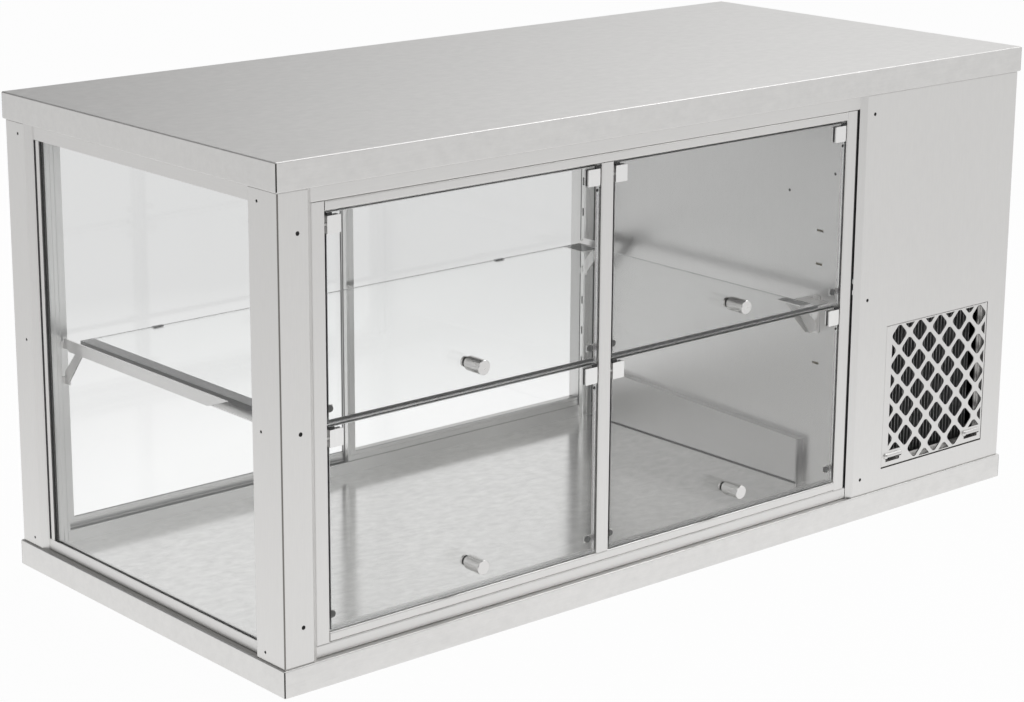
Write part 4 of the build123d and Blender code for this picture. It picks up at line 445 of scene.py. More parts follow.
@dataclass(frozen=True)
class WorkedMetal:
    """Brushed or mill-finished sheet and profile metal."""

    name: str
    tone: Colour
    grain: Grain = Grain.ALONG_X
    cloud: float = 0.03
    mottle: float = 0.05
    streak: float = 0.03
    roughness: float = 0.36
    spread: float = 0.10
    relief: float = 0.02
    corner_shade_reach: float = 0.0
    corner_shade_tone: Colour = (0.05, 0.048, 0.045)
    painted_inside_shade: bool = False

    @staticmethod
    def machine_inside_shade(sheet: NodeSheet, coordinates: Socket) -> Socket:
        """Mask of the faces that look into the machine compartment, from the sizes of its covers: where the
        compartment's shade is painted near-black.

        Args:
            sheet: node sheet of the material.
            coordinates: object coordinates.

        Returns:
            The mask.
        """
        low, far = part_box("machine_front_cover")[0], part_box("machine_side_cover")[1]
        high = Vector((far.x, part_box("machine_rear_cover")[1].y, far.z))
        sizes = {"Middle": (low + high) / 2, "Half Size": (high - low) / 2 - Vector(INSIDE_SHADE_TRIM)}
        beyond = sheet.place(GROUPS.edge, coordinates, sizes)
        return sheet.math("SUBTRACT", 1.0, beyond.outputs["Mask"])

    def build(self) -> bpy.types.Material:
        """Make the material."""
        material, sheet, shader, coordinates = fresh_material(self.name)
        shader.inputs["Metallic"].default_value = 1.0
        values = {
            "Stretch": self.grain.value,
            "Base": (*self.tone, 1.0),
            "Cloud": self.cloud,
            "Mottle": self.mottle,
            "Streak": self.streak,
            "Gloss": self.roughness,
            "Gloss Spread": self.spread,
        }
        group = sheet.place(GROUPS.grain, coordinates, values)
        colour = group.outputs["Color"]
        # Painted shade: dark line down the corners
        if self.corner_shade_reach:
            seam = sheet.place(GROUPS.seam, coordinates, {"Reach": self.corner_shade_reach})
            colour = sheet.blend(seam.outputs["Mask"], colour, self.corner_shade_tone)
        # Painted shade: faces inside the machine compartment turn near-black
        if self.painted_inside_shade:
            colour = sheet.blend(self.machine_inside_shade(sheet, coordinates), colour, INSIDE_SHADE_TONE)
        if self.relief:
            sheet.bump(group.outputs["Height"], self.relief, shader)
        sheet.link(colour, shader.inputs["Base Color"])
        sheet.link(group.outputs["Roughness"], shader.inputs["Roughness"])
        return material


@dataclass(frozen=True)
class PlainSurface:
    """Plastic, rubber, foam or enamel."""

    name: str
    tone: Colour
    roughness: float = 0.5
    scale: float = 500.0
    amount: float = 0.08
    relief: float = 0.03
    metallic: float = 0.0

    def build(self) -> bpy.types.Material:
        """Make the material."""
        material, sheet, shader, coordinates = fresh_material(self.name)
        shader.inputs["Metallic"].default_value = self.metallic
        base = (*self.tone, 1.0)
        values = {"Base": base, "Scale": self.scale, "Amount": self.amount, "Gloss": self.roughness}
        group = sheet.place(GROUPS.speckle, coordinates, values)
        sheet.bump(group.outputs["Height"], self.relief, shader)
        sheet.link(group.outputs["Color"], shader.inputs["Base Color"])
        sheet.link(group.outputs["Roughness"], shader.inputs["Roughness"])
        return material


@dataclass(frozen=True)
class ClearGlass:
    """Clear glass or plastic that lets lamp light through; where a pane is given, its cut edges are rough and
    greyer, the grey partly painted reflection of the darker surroundings seen in the edge.
    """

    name: str
    tone: Colour = (0.975, 0.985, 0.98)
    roughness: float = 0.0
    index: float = 1.45
    pane: str = ""
    edge_shade_tone: Colour = EDGE_SHADE_TONE
    edge_band: float = 0.0008
    edge_roughness: float = 0.35
    swing: float = 0.01

    def edge_mask(self, sheet: NodeSheet, coordinates: Socket) -> Socket:
        """Mask of the pane's four cut edges, from the size of its CAD node.

        The thin axis gets a half size beyond any pane, so the large faces are never masked.

        Args:
            sheet: node sheet of the material.
            coordinates: object coordinates.

        Returns:
            The mask.
        """
        low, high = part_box(self.pane)
        size = [top - bottom for bottom, top in zip(low, high)]
        thin = size.index(min(size))
        half = [extent / 2 - self.edge_band for extent in size]
        half[thin] = BEYOND
        edge = sheet.place(GROUPS.edge, coordinates, {"Middle": (low + high) / 2, "Half Size": half})
        return edge.outputs["Mask"]

    def build(self) -> bpy.types.Material:
        """Make the material."""
        material, sheet, shader, coordinates = fresh_material(self.name)
        shader.inputs["Transmission Weight"].default_value = 1.0
        shader.inputs["IOR"].default_value = self.index
        shader.inputs["Roughness"].default_value = self.roughness
        noise = sheet.noise(coordinates, *GLASS_NOISE)
        tint = sheet.add("ShaderNodeMix", data_type="RGBA")
        sheet.link(noise, tint.inputs["Factor"])
        tint.inputs[MIX_FIRST].default_value = (*self.tone, 1.0)
        tint.inputs[MIX_SECOND].default_value = (*(min(1.0, value + self.swing) for value in self.tone), 1.0)
        colour = tint.outputs[MIX_RESULT]
        # Cut edges: rough like a ground edge, and grey as painted reflection
        if self.pane:
            mask = self.edge_mask(sheet, coordinates)
            colour = sheet.blend(mask, colour, self.edge_shade_tone)
            sheet.link(sheet.math("MULTIPLY", mask, self.edge_roughness), shader.inputs["Roughness"])
        sheet.link(colour, shader.inputs["Base Color"])
        output = material.node_tree.get_output_node("ALL")
        clear = sheet.add("ShaderNodeBsdfTransparent")
        clear.inputs["Color"].default_value = (*self.tone, 1.0)
        path = sheet.add("ShaderNodeLightPath")
        shadow = path.outputs["Is Shadow Ray"]
        sheet.mix(shadow, shader.outputs[0], clear.outputs[0], output.inputs["Surface"])
        return material


STEEL_TONE: Colour = (0.76, 0.752, 0.74)
# Chamber lining: the same steel toned darker than STEEL_TONE, as painted shade of the chamber
LINING_SHADE_TONE: Colour = (0.66, 0.655, 0.648)
PANE_TONE: Colour = (0.988, 0.993, 0.990)
SHELF_TONE: Colour = (0.982, 0.989, 0.986)
# Lighter grey of the shelf's cut edges, partly painted reflection
SHELF_EDGE_SHADE_TONE: Colour = (0.86, 0.87, 0.865)
# Near-black painted shade of the faces inside the machine compartment
INSIDE_SHADE_TONE: Colour = (0.035, 0.035, 0.036)
# How far the painted shade of the machine compartment stays inside its covers, axis by axis
INSIDE_SHADE_TRIM: Triple = (0.0008, 0.0008, -0.0006)
# Reach of the painted shade lines down the corners: |x| + |y| at the corner, less the width of the line
SLAB_CORNER = 0.875 - 0.0012
POST_CORNER = 0.870 - 0.0015


@dataclass
class FinishRack:
    """All finishes of the case, built once and handed to the sub-assemblies."""

    built: dict[str, bpy.types.Material] = field(default_factory=dict)

    def fetch(self, finish: object) -> bpy.types.Material:
        """Build a finish on first use.

        Args:
            finish: finish description with a name and a build method.

        Returns:
            Its material.
        """
        if finish.name not in self.built:
            self.built[finish.name] = finish.build()
        return self.built[finish.name]


TOP_STEEL = WorkedMetal(
    "top_sheet_steel", STEEL_TONE, mottle=0.10, cloud=0.012, roughness=0.37, corner_shade_reach=SLAB_CORNER
)
BASE_STEEL = replace(TOP_STEEL, name="base_sheet_steel", painted_inside_shade=True)
FRONT_STEEL = WorkedMetal("front_sheet_steel", STEEL_TONE, mottle=0.03, cloud=0.015)
SIDE_STEEL = replace(FRONT_STEEL, name="side_sheet_steel", grain=Grain.ALONG_Y)
UPRIGHT_STEEL = replace(FRONT_STEEL, name="upright_sheet_steel", grain=Grain.ALONG_Z)
COVER_STEEL = replace(UPRIGHT_STEEL, name="machine_cover_steel", painted_inside_shade=True)
POST_STEEL = replace(
    UPRIGHT_STEEL, name="post_sheet_steel", corner_shade_reach=POST_CORNER, corner_shade_tone=(0.22, 0.21, 0.20)
)
FLOOR_STEEL = WorkedMetal(
    "chamber_floor_steel", (0.80, 0.795, 0.785), mottle=0.19, streak=0.12, roughness=0.15, spread=0.08
)
WALL_STEEL = WorkedMetal(
    "chamber_wall_steel",
    LINING_SHADE_TONE,
    Grain.ALONG_Z,
    mottle=0.02,
    cloud=0.02,
    roughness=0.32,
    spread=0.02,
    relief=0.0,
)
# Low wall cover: the lining steel made darker still, as painted shade low in the chamber
KICK_SHADE_STEEL = replace(
    WALL_STEEL, name="wall_cover_steel_shaded", tone=(0.54, 0.535, 0.53), grain=Grain.ALONG_Y, relief=0.02
)
BRACKET_STEEL = WorkedMetal("bracket_steel", (0.80, 0.79, 0.78), Grain.ALONG_Y, roughness=0.34)
KNOB_STEEL = WorkedMetal("knob_steel", (0.74, 0.73, 0.72), Grain.ALONG_Y, mottle=0.02, roughness=0.26)
CLIP_STEEL = WorkedMetal("clip_steel", (0.90, 0.895, 0.885), Grain.ALONG_Z, mottle=0.02, roughness=0.34)
TRACK_ALUMINIUM = WorkedMetal("track_aluminium", (0.78, 0.78, 0.77), mottle=0.02, roughness=0.33)
PROFILE_ALUMINIUM = replace(
    TRACK_ALUMINIUM, name="profile_aluminium", tone=(0.80, 0.80, 0.79), grain=Grain.ALONG_Z
)
FIN_ALUMINIUM = WorkedMetal("fin_aluminium", (0.50, 0.50, 0.50), Grain.ALONG_Z, mottle=0.12, roughness=0.5)
COPPER_TUBE = WorkedMetal("copper_tube", (0.78, 0.44, 0.28), Grain.ALONG_Z, mottle=0.10, roughness=0.30)
ZINC_SHEET = WorkedMetal("zinc_sheet", (0.50, 0.51, 0.52), Grain.ALONG_Z, mottle=0.14, roughness=0.45)
CLEAR_BUMPER = ClearGlass("clear_bumper_plastic", tone=(0.95, 0.955, 0.955), roughness=0.08, index=1.25)
STOP_PLASTIC = ClearGlass("stop_plastic", tone=(0.84, 0.85, 0.85), roughness=0.15, index=1.20)
# Dark grey of the strip at the foot of the wall cover: painted shade in the joint
JOINT_SHADE_DARK = PlainSurface("joint_shade_dark", (0.13, 0.13, 0.13), roughness=0.6)
SEAL_RUBBER = PlainSurface("seal_rubber", (0.035, 0.035, 0.036), roughness=0.6)
# Near-black of the hole discs: painted shade inside the holes
HOLE_SHADE_BLACK = PlainSurface("hole_shade_black", (0.006, 0.006, 0.006), roughness=0.7)
MARK_WHITE = PlainSurface("mark_white", (0.80, 0.80, 0.78), roughness=0.5, amount=0.03)
FOAM = PlainSurface("insulation_foam", (0.82, 0.76, 0.55), roughness=0.9, scale=120.0, amount=0.15)
BLACK_ENAMEL = PlainSurface("black_enamel", (0.02, 0.02, 0.021), roughness=0.32, scale=200.0)
BLACK_PLASTIC = PlainSurface("black_plastic", (0.03, 0.03, 0.031), roughness=0.45)
DIAL_PLASTIC = PlainSurface("dial_plastic", (0.04, 0.04, 0.042), roughness=0.3)
ROCKER_PLASTIC = PlainSurface("rocker_plastic", (0.03, 0.16, 0.05), roughness=0.25)


def dress(rack: FinishRack, finish: object, *nodes: str) -> None:
    """Give one finish to several CAD nodes.

    Args:
        rack: finish store.
        finish: finish description.
        nodes: CAD node names.
    """
    material = rack.fetch(finish)
    for name in nodes:
        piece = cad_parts[name]
        piece.data.materials.clear()
        piece.data.materials.append(material)


def glaze(rack: FinishRack, tone: Colour, edge_shade_tone: Colour, *nodes: str) -> None:
    """Give each pane clear glass with its own cut edges.

    Args:
        rack: finish store.
        tone: tone of the glass.
        edge_shade_tone: tone of the cut edges, its grey partly painted reflection.
        nodes: CAD node names of the panes.
    """
    for name in nodes:
        dress(rack, ClearGlass(f"{name}_glass", tone=tone, pane=name, edge_shade_tone=edge_shade_tone), name)


# Half outlines of the black discs that paint the shade in the holes, and of the button: height in
# millimetres, share of the radius
SCREW_HOLE_SHADE = (
    (-0.5, 0.0), (-0.48, 0.45), (-0.4, 0.8), (-0.25, 1.0), (0.25, 1.0), (0.4, 0.8), (0.48, 0.45), (0.5, 0.0)
)
WALL_HOLE_SHADE = ((-0.5, 0.0), (-0.4, 0.8), (-0.2, 1.0), (0.2, 1.0), (0.4, 0.8), (0.5, 0.0))
CLIP_BUTTON = ((-0.9, 0.0), (-0.8, 0.6), (-0.5, 1.0), (0.0, 1.0), (0.01, 0.0))


# Surfaces worked out as whole arrays
def turned_skin(profile: np.ndarray, centre: Point, axis: int, segments: int = 20) -> Skin:
    """Closed turned piece.

    A point at angle t and profile place s is the centre plus r(s) times (cos t, sin t) in the two axes
    across, plus h(s) along the turning axis. The first and last profile points have r = 0: single points.

    Args:
        profile: rows of (height, radius), from pole to pole.
        centre: middle of the piece in metres.
        axis: turning axis, 0 to 2.
        segments: points round the axis.

    Returns:
        Points and faces.
    """
    rings = len(profile) - 2
    angle = np.linspace(0.0, 2.0 * np.pi, segments, endpoint=False)
    across = [number for number in range(3) if number != axis]
    body = np.zeros((rings, segments, 3))
    body[:, :, across[0]] = profile[1:-1, 1, None] * np.cos(angle)
    body[:, :, across[1]] = profile[1:-1, 1, None] * np.sin(angle)
    body[:, :, axis] = profile[1:-1, 0, None]
    poles = np.zeros((2, 3))
    poles[:, axis] = profile[[0, -1], 0]
    points = np.concatenate([body.reshape(-1, 3), poles]) + np.array(centre)
    column = np.arange(segments)
    beside = (column + 1) % segments
    row = np.arange(rings - 1)[:, None] * segments
    above = row + segments
    quads = np.stack([row + column, row + beside, above + beside, above + column], axis=-1)
    first, last = rings * segments, rings * segments + 1
    base = (rings - 1) * segments
    start = np.stack([np.full(segments, first), beside, column], axis=-1)
    end = np.stack([np.full(segments, last), base + column, base + beside], axis=-1)
    faces = [tuple(face) for face in quads.reshape(-1, 4).tolist()]
    faces += [tuple(face) for face in start.tolist() + end.tolist()]
    return points, faces


def plug_skin(outline: tuple[Pair, ...], diameter: float, place: Point, axis: int) -> Skin:
    """Turned plug or button.

    Args:
        outline: rows of height in millimetres and share of the radius, from pole to pole.
        diameter: full diameter in millimetres.
        place: middle of the plug in metres.
        axis: turning axis, 0 to 2.

    Returns:
        Points and faces.
    """
    return turned_skin(np.array(outline) * np.array([1.0, diameter / 2]) * MILLIMETRE, place, axis)


def rounded_outline(width: float, height: float, corner: float, steps: int = 4) -> np.ndarray:
    """Outline of a rectangle with round corners.

    Each corner is a quarter circle of the corner radius, worked out at even angles round its own centre.

    Args:
        width: size along the first axis.
        height: size along the second axis.
        corner: corner radius.
        steps: points in each corner.

    Returns:
        Rows of (first, second).
    """
    angle = np.linspace(0.0, np.pi / 2, steps)
    turn = np.arange(4)[:, None] * np.pi / 2 + angle
    side = np.array([[1, 1], [-1, 1], [-1, -1], [1, -1]])
    middle = side * np.array([width / 2 - corner, height / 2 - corner])
    x = middle[:, :1] + corner * np.cos(turn)
    y = middle[:, 1:] + corner * np.sin(turn)
    return np.stack([x.ravel(), y.ravel()], axis=-1)


def carried_skin(outline: np.ndarray, start: Point, axis: int, length: float) -> Skin:
    """Closed bar: an outline carried straight along one axis, with flat ends.

    A point is the start plus the outline in the two axes across, plus the distance run along the axis.

    Args:
        outline: rows of (first, second) across the run, in the order of the two other axes.
        start: middle of the outline at the start, in metres.
        axis: axis of the run, 0 to 2.
        length: length of the run.

    Returns:
        Points and faces.
    """
    count = len(outline)
    across = [number for number in range(3) if number != axis]
    points = np.zeros((2, count, 3))
    points[:, :, across[0]] = outline[:, 0]
    points[:, :, across[1]] = outline[:, 1]
    points[1, :, axis] = length
    points = points.reshape(-1, 3) + np.array(start)
    column = np.arange(count)
    beside = (column + 1) % count
    quads = np.stack([column, beside, beside + count, column + count], axis=-1)
    faces = [tuple(face) for face in quads.tolist()]
    faces += [tuple(range(count - 1, -1, -1)), tuple(range(count, 2 * count))]
    return points, faces


def make_piece(
    rack: FinishRack, name: str, skins: list[Skin], finish: object, body: str, smooth: bool = False
) -> None:
    """Make one piece from closed skins and hang it on a body.

    Args:
        rack: finish store.
        name: name of the piece.
        skins: closed skins in metres, in the row frame.
        finish: finish description.
        body: body that carries the piece.
        smooth: whether the faces shade as one round surface.
    """
    points: list[np.ndarray] = []
    faces: list[tuple[int, ...]] = []
    count = 0
    for skin, skin_faces in skins:
        points.append(skin)
        faces += [tuple(index + count for index in face) for face in skin_faces]
        count += len(skin)
    mesh = bpy.data.meshes.new(name)
    mesh.from_pydata(np.concatenate(points).tolist(), [], faces)
    work = bmesh.new()
    work.from_mesh(mesh)
    bmesh.ops.recalc_face_normals(work, faces=work.faces)
    work.to_mesh(mesh)
    work.free()
    mesh.polygons.foreach_set("use_smooth", [smooth] * len(mesh.polygons))
    mesh.materials.append(rack.fetch(finish))
    piece = placed(name, mesh)
    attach(piece, body)


# Sub-assemblies
@dataclass
class Shell:
    """Base, top, posts and covers of the case, with black discs in the screw holes as painted shade."""

    rack: FinishRack
    front_hole: float = 5.0
    side_hole: float = 3.5
    cover_hole: float = 4.5
    front_inset: float = 25.5
    front_side_inset: float = 36.1
    rear_side_inset: float = 27.5
    cover_inset: float = 22.0
    front_ends: Pair = (43.5, 46.0)
    side_ends: Pair = (10.4, 14.0)
    cover_ends: Pair = (21.5, 24.9)
    shade_depth: float = 0.9
    shade_play: float = 0.04

    def hole_shades(self) -> list[Skin]:
        """Black discs in all screw holes of the posts and the front cover: painted shade of the holes."""
        skins = []
        depth = self.shade_depth * MILLIMETRE
        front_shade, side_shade, cover_shade = (
            hole - self.shade_play for hole in (self.front_hole, self.side_hole, self.cover_hole)
        )
        for node, inward in (("front_left_post", 1.0), ("rear_left_post", -1.0)):
            low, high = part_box(node)
            outer = low.y if inward > 0 else high.y
            side_inset = self.front_side_inset if inward > 0 else self.rear_side_inset
            for z in self.heights(low.z, high.z, self.front_ends):
                x = low.x + self.front_inset * MILLIMETRE
                skins.append(plug_skin(SCREW_HOLE_SHADE, front_shade, (x, outer + inward * depth, z), 1))
            for z in self.heights(low.z, high.z, self.side_ends):
                y = outer + inward * side_inset * MILLIMETRE
                skins.append(plug_skin(SCREW_HOLE_SHADE, side_shade, (low.x + depth, y, z), 0))
        low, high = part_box("machine_front_cover")
        for z in self.heights(low.z, high.z, self.cover_ends):
            x = low.x + self.cover_inset * MILLIMETRE
            skins.append(plug_skin(SCREW_HOLE_SHADE, cover_shade, (x, low.y + depth, z), 1))
        return skins

    @staticmethod
    def heights(low: float, high: float, ends: Pair) -> Triple:
        """Three heights: above the lower end, halfway, and below the upper end."""
        first, last = low + ends[0] * MILLIMETRE, high - ends[1] * MILLIMETRE
        return first, (first + last) / 2, last

    def build(self) -> None:
        """Dress the outer shell and paint the shade of its screw holes with black discs."""
        dress(self.rack, TOP_STEEL, "top_panel")
        dress(self.rack, BASE_STEEL, "base_pan")
        dress(self.rack, POST_STEEL, "front_left_post", "rear_left_post")
        dress(self.rack, UPRIGHT_STEEL, "machine_front_cover")
        dress(self.rack, COVER_STEEL, "machine_rear_cover", "machine_side_cover")
        dress(self.rack, ZINC_SHEET, "machine_partition")
        dress(self.rack, FOAM, "insulation_boards")
        make_piece(self.rack, "screw_hole_shades", self.hole_shades(), HOLE_SHADE_BLACK, "case", smooth=True)


@dataclass
class Chamber:
    """Lining, side glazing and door frame of the display chamber."""

    rack: FinishRack
    joint_shade_size: float = 1.4
    joint_shade_corner: float = 0.45
    bar_corner: float = 0.3
    gap_shade_bar: Triple = (4.6, 3.0, 3.7)
    gap_shade_shift: float = 0.5
    wall_hole: float = 3.9
    wall_shade_depth: float = 0.55
    rail_step: float = 0.3
    wall_places: tuple[Pair, ...] = ((95.7, 137.5), (18.7, 104.5))

    def joint_shades(self) -> list[Skin]:
        """Dark strip where the low wall cover meets the floor, carried along the cover: painted shade in that
        joint.
        """
        low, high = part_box("wall_cover")
        side = self.joint_shade_size * MILLIMETRE
        outline = rounded_outline(side, side, side * self.joint_shade_corner)
        start = (low.x - side / 2, low.y, low.z + side / 2)
        return [carried_skin(outline, start, 1, high.y - low.y)]

    def gap_shade_bars(self) -> list[Skin]:
        """Dark bar that closes, from inside, the joint of the door frame and the machine's front cover:
        painted shade in that gap, which stops light showing through it.
        """
        low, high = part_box("frame_stiles")
        width, thick, behind = (value * MILLIMETRE for value in self.gap_shade_bar)
        outline = rounded_outline(width, thick, thick * self.bar_corner)
        middle_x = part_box("machine_front_cover")[0].x - self.gap_shade_shift * MILLIMETRE
        return [carried_skin(outline, (middle_x, low.y + behind, low.z), 2, high.z - low.z)]

    def wall_hole_shades(self) -> list[Skin]:
        """Black discs in the two small holes of the bulkhead: painted shade of the holes."""
        low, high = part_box("bulkhead_liner")
        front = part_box("frame_rails")[1].y + self.rail_step * MILLIMETRE
        inner = low.x + self.wall_shade_depth * MILLIMETRE
        skins = []
        for behind, below in self.wall_places:
            place = (inner, front + behind * MILLIMETRE, high.z - below * MILLIMETRE)
            skins.append(plug_skin(WALL_HOLE_SHADE, self.wall_hole, place, 0))
        return skins

    def build(self) -> None:
        """Dress the chamber."""
        dress(self.rack, FLOOR_STEEL, "display_floor", "ceiling_liner")
        dress(self.rack, WALL_STEEL, "bulkhead_liner")
        dress(self.rack, KICK_SHADE_STEEL, "wall_cover")
        dress(self.rack, SIDE_STEEL, "side_rails")
        dress(self.rack, FRONT_STEEL, "front_rails", "frame_rails", "rear_rails")
        dress(self.rack, UPRIGHT_STEEL, "frame_stiles", "frame_mullion")
        glaze(self.rack, PANE_TONE, EDGE_SHADE_TONE, "side_glass")
        dress(self.rack, SEAL_RUBBER, "glass_seals")
        dress(self.rack, CLEAR_BUMPER, "door_bumpers")
        make_piece(self.rack, "wall_cover_joint_shade", self.joint_shades(), JOINT_SHADE_DARK, "case")
        make_piece(self.rack, "frame_gap_shade_bar", self.gap_shade_bars(), SEAL_RUBBER, "case")
        hole_shades = self.wall_hole_shades()
        make_piece(self.rack, "wall_hole_shade_discs", hole_shades, HOLE_SHADE_BLACK, "case", smooth=True)


@dataclass
class FrontFlaps:
    """Four top-hung glass flaps with their clips, clip pads and knobs."""

    rack: FinishRack
    pad_width: float = 7.0
    pad_rise: float = 3.4
    pad_thickness: float = 1.2
    pad_corner: float = 0.6
    button: float = 3.6
    button_drop: float = 5.5
    button_inset: float = 3.0

    def pads(self, level: str, side: str) -> list[Skin]:
        """Black pads that show above the outer end of each clip, and a button under the right-hand clip.

        Args:
            level: upper or lower.
            side: left or right.

        Returns:
            The skins.
        """
        clip_low, clip_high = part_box(f"flap_clips_{level}_{side}")
        glass_low, glass_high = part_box(f"flap_glass_{level}_{side}")
        sizes = (self.pad_width, self.pad_rise, self.pad_thickness)
        width, rise, thick = (value * MILLIMETRE for value in sizes)
        outline = rounded_outline(width, rise, self.pad_corner * MILLIMETRE)
        z = clip_high.z + rise / 2
        front = glass_low.y - thick
        places = (glass_low.x + width / 2, glass_high.x - width / 2)
        skins = [carried_skin(outline, (x, front, z), 1, thick) for x in places]
        below = clip_low.z - self.button_drop * MILLIMETRE
        across = glass_high.x - self.button_inset * MILLIMETRE
        skins.append(plug_skin(CLIP_BUTTON, self.button, (across, glass_low.y, below), 1))
        return skins

    def build(self) -> None:
        """Dress the flaps and add their pads."""
        for level in ("upper", "lower"):
            for side in ("left", "right"):
                glaze(self.rack, PANE_TONE, EDGE_SHADE_TONE, f"flap_glass_{level}_{side}")
                dress(self.rack, CLIP_STEEL, f"flap_clips_{level}_{side}")
                dress(self.rack, KNOB_STEEL, f"flap_knob_{level}_{side}")
                name, body = f"clip_pads_{level}_{side}", f"flap_{level}_{side}"
                make_piece(self.rack, name, self.pads(level, side), SEAL_RUBBER, body)


@dataclass
class ServiceSide:
    """Rear uprights, tracks and sliding doors."""

    rack: FinishRack

    def build(self) -> None:
        """Dress the service side."""
        dress(self.rack, PROFILE_ALUMINIUM, "rear_uprights", "rear_jamb")
        dress(self.rack, TRACK_ALUMINIUM, "door_tracks")
        for side in ("left", "right"):
            dress(self.rack, PROFILE_ALUMINIUM, f"service_frame_{side}")
            glaze(self.rack, PANE_TONE, EDGE_SHADE_TONE, f"service_glass_{side}")


@dataclass
class ShelfSet:
    """Glass shelf, its stops and its brackets."""

    rack: FinishRack

    def build(self) -> None:
        """Dress the shelf."""
        glaze(self.rack, SHELF_TONE, SHELF_EDGE_SHADE_TONE, "shelf_glass")
        dress(self.rack, STOP_PLASTIC, "shelf_stops")
        dress(self.rack, BRACKET_STEEL, "left_shelf_bracket", "right_shelf_brackets")


@dataclass
class Machine:
    """Grille, condensing unit, evaporator and controls with their marks."""

    rack: FinishRack
    tick_count: int = 11
    tick_reach: float = 24.0
    tick_size: Pair = (3.4, 0.9)
    sweep_degrees: float = 135.0
    mark_thickness: float = 0.12
    mark_corner: float = 0.3
    panel_step: float = 0.3
    pointer_size: Pair = (9.0, 1.4)
    pointer_share: float = 0.30
    pointer_sink: float = 0.02

    def tick(self, face: float, angle: float, reach: float, size: Pair) -> Skin:
        """Flat bar on a plane that faces the rear, pointing at the middle of the dial.

        Its middle is the dial's middle plus the reach times (sin t, cos t) in X and Z, with t the angle.

        Args:
            face: Y of the plane, in metres.
            angle: direction from the dial's middle, from straight up, in radians.
            reach: distance from the dial's middle, in metres.
            size: length and width in millimetres.

        Returns:
            Points and faces.
        """
        low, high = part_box("thermostat_dial")
        x = (low.x + high.x) / 2 + reach * math.sin(angle)
        z = (low.z + high.z) / 2 + reach * math.cos(angle)
        outline = rounded_outline(size[1], size[0], self.mark_corner, steps=3) * MILLIMETRE
        turn = np.array([[math.cos(angle), math.sin(angle)], [-math.sin(angle), math.cos(angle)]])
        return carried_skin(outline @ turn.T, (x, face, z), 1, self.mark_thickness * MILLIMETRE)

    def ticks(self) -> list[Skin]:
        """Ring of plain ticks round the dial, at even angles over its sweep."""
        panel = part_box("electrics_box")[1].y + self.panel_step * MILLIMETRE
        reach = self.tick_reach * MILLIMETRE
        sweep = math.radians(self.sweep_degrees)
        angles = np.linspace(-sweep, sweep, self.tick_count)
        return [self.tick(panel, angle, reach, self.tick_size) for angle in angles]

    def pointer(self) -> list[Skin]:
        """White line on the face of the dial, toward the start of its sweep."""
        low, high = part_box("thermostat_dial")
        reach = (high.x - low.x) * self.pointer_share
        face = high.y - self.pointer_sink * MILLIMETRE
        return [self.tick(face, math.radians(self.sweep_degrees), reach, self.pointer_size)]

    def build(self) -> None:
        """Dress the machine and mark its dial."""
        dress(self.rack, UPRIGHT_STEEL, "grille")
        dress(self.rack, FIN_ALUMINIUM, "condenser", "evaporator")
        dress(self.rack, ZINC_SHEET, "fan_shroud", "electrics_box")
        dress(self.rack, BLACK_ENAMEL, "fan_motor", "compressor")
        dress(self.rack, BLACK_PLASTIC, "fan_blade", "control_panel", "power_inlet")
        dress(self.rack, COPPER_TUBE, "pipework")
        dress(self.rack, TRACK_ALUMINIUM, "drip_tray")
        dress(self.rack, DIAL_PLASTIC, "thermostat_dial")
        dress(self.rack, ROCKER_PLASTIC, "rocker_switch")
        make_piece(self.rack, "dial_ticks", self.ticks(), MARK_WHITE, "case")
        make_piece(self.rack, "dial_pointer", self.pointer(), MARK_WHITE, "dial")


# Studio
@dataclass(frozen=True)
class SoftLamp:
    """Square soft lamp, in metres and watts."""

    name: str
    place: Point
    target: Point
    size: float
    power: float


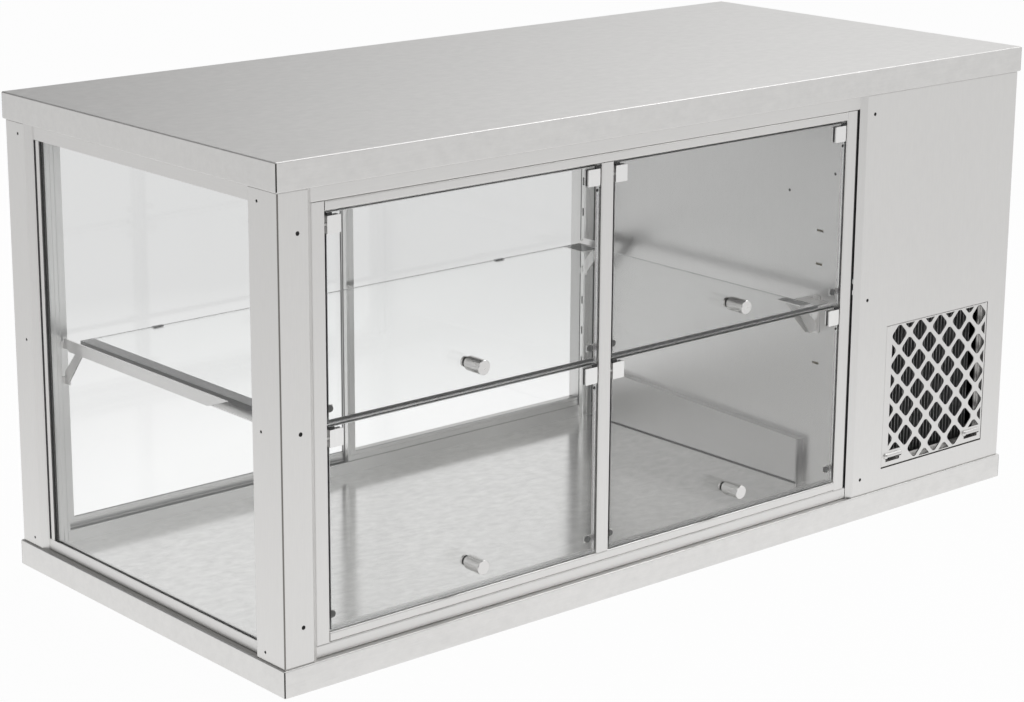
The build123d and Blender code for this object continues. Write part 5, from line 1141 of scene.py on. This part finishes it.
@dataclass
class Studio:
    """Pale floor, graded world light, soft lamps and the camera of the reference view."""

    floor_size: float = 60.0
    floor_white: float = 0.86
    glow_share: float = 0.97
    mirror_pool: Triple = (0.55, 1.7, 0.84)
    glass_pool: Triple = (0.55, 1.35, 0.72)
    world_low: float = 0.32
    world_high: float = 1.12
    world_span: Pair = (0.40, 0.72)
    camera_place: Point = (-2.1285, -2.4036, 1.1203)
    azimuth: float = 39.845
    elevation: float = 14.838
    roll: float = -0.06
    focal_pixels: float = 2608.94
    image_width: float = 1024.0
    image_height: float = 702.0
    principal: Pair = (462.63, 316.69)
    sensor: float = 36.0
    clip_far: float = 200.0
    lamps: tuple[SoftLamp, ...] = (
        SoftLamp("key_lamp", (-1.6, -2.6, 2.6), (0.0, 0.0, 0.3), 2.4, 14.0),
        SoftLamp("top_lamp", (0.4, 0.6, 3.2), (0.0, 0.0, 0.3), 3.0, 30.0),
        SoftLamp("edge_lamp", (2.2, -0.9, 2.9), (0.0, 0.0, 0.4), 1.4, 14.0),
    )

    def floor(self) -> None:
        """Make the floor under the base; its material glows white to the eye and keeps the shadow.

        Rays mirrored in metal or seen through glass meet a pool: full glow near the case, falling to a lower
        level farther out. Each pool is a near radius, a far radius and that level.
        """
        half = self.floor_size / 2
        mesh = bpy.data.meshes.new("studio_floor")
        corners = [(-half, -half, 0.0), (half, -half, 0.0), (half, half, 0.0), (-half, half, 0.0)]
        mesh.from_pydata(corners, [], [(0, 1, 2, 3)])
        floor = placed("studio_floor", mesh)
        material = bpy.data.materials.new("studio_floor")
        sheet = empty_sheet(material)
        output = sheet.add("ShaderNodeOutputMaterial")
        matt = sheet.add("ShaderNodeBsdfDiffuse")
        matt.inputs["Color"].default_value = (self.floor_white,) * 3 + (1.0,)
        glow = sheet.add("ShaderNodeEmission")
        path = sheet.add("ShaderNodeLightPath")
        direct, through = path.outputs["Is Camera Ray"], path.outputs["Is Transmission Ray"]
        seen = sheet.math("MAXIMUM", direct, path.outputs["Is Glossy Ray"])
        seen = sheet.math("MAXIMUM", seen, through)
        reach = sheet.add("ShaderNodeVectorMath", operation="LENGTH")
        sheet.link(sheet.add("ShaderNodeTexCoord").outputs["Object"], reach.inputs[0])
        mirror, glass = (
            sheet.span(reach.outputs["Value"], (near, far), (1.0, low))
            for near, far, low in (self.mirror_pool, self.glass_pool)
        )
        seen_through = sheet.math("MULTIPLY", glass, through)
        mirrored = sheet.math("MULTIPLY", mirror, sheet.math("SUBTRACT", 1.0, through))
        pool = sheet.math("ADD", seen_through, mirrored)
        sheet.link(sheet.math("MAXIMUM", direct, pool), glow.inputs["Strength"])
        share = sheet.math("MULTIPLY", seen, self.glow_share)
        sheet.mix(share, matt.outputs[0], glow.outputs[0], output.inputs["Surface"])
        mesh.materials.append(material)

    def world(self) -> None:
        """Set a white world to the eye and a softly graded one to the object."""
        world = bpy.data.worlds.new("studio_world")
        bpy.context.scene.world = world
        sheet = empty_sheet(world)
        output = sheet.add("ShaderNodeOutputWorld")
        seen = sheet.add("ShaderNodeBackground")
        light = sheet.add("ShaderNodeBackground")
        across, _, _ = sheet.split(sheet.add("ShaderNodeTexCoord").outputs["Generated"])
        level = sheet.span(across, self.world_span, (self.world_low, self.world_high))
        sheet.link(level, light.inputs["Strength"])
        path = sheet.add("ShaderNodeLightPath")
        direct = sheet.math("MAXIMUM", path.outputs["Is Camera Ray"], path.outputs["Is Transmission Ray"])
        sheet.mix(direct, light.outputs[0], seen.outputs[0], output.inputs["Surface"])

    @staticmethod
    def light(soft: SoftLamp) -> None:
        """Add a soft lamp aimed at its target.

        Args:
            soft: description of the lamp.
        """
        data = bpy.data.lights.new(soft.name, "AREA")
        data.size = soft.size
        data.energy = soft.power
        lamp = placed(soft.name, data)
        lamp.location = soft.place
        aim = Vector(soft.target) - Vector(soft.place)
        lamp.rotation_euler = aim.to_track_quat("-Z", "Y").to_euler()

    def camera(self) -> None:
        """Place the solved camera and make it the scene camera."""
        data = bpy.data.cameras.new("reference_camera")
        data.sensor_width = self.sensor
        data.lens = self.focal_pixels / self.image_width * self.sensor
        data.shift_x = (self.image_width / 2 - self.principal[0]) / self.image_width
        data.shift_y = (self.principal[1] - self.image_height / 2) / self.image_width
        data.clip_end = self.clip_far
        camera = placed("reference_camera", data)
        camera.location = self.camera_place
        pitch = math.radians(90.0 - self.elevation)
        camera.rotation_euler = Euler((pitch, math.radians(self.roll), -math.radians(self.azimuth)), "XYZ")
        bpy.context.scene.camera = camera

    def build(self) -> None:
        """Build the studio."""
        self.floor()
        self.world()
        for soft in self.lamps:
            self.light(soft)
        self.camera()
        bpy.context.scene.view_settings.view_transform = "Standard"


def main() -> None:
    """Dress the sub-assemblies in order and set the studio."""
    logging.basicConfig(level=logging.INFO, format="%(name)s: %(message)s")
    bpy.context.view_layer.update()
    rack = FinishRack()
    for part in (Shell, Chamber, FrontFlaps, ServiceSide, ShelfSet, Machine):
        part(rack).build()
        LOG.info("%s dressed", part.__name__)
    Studio().build()


if __name__ == "__main__":
    main()
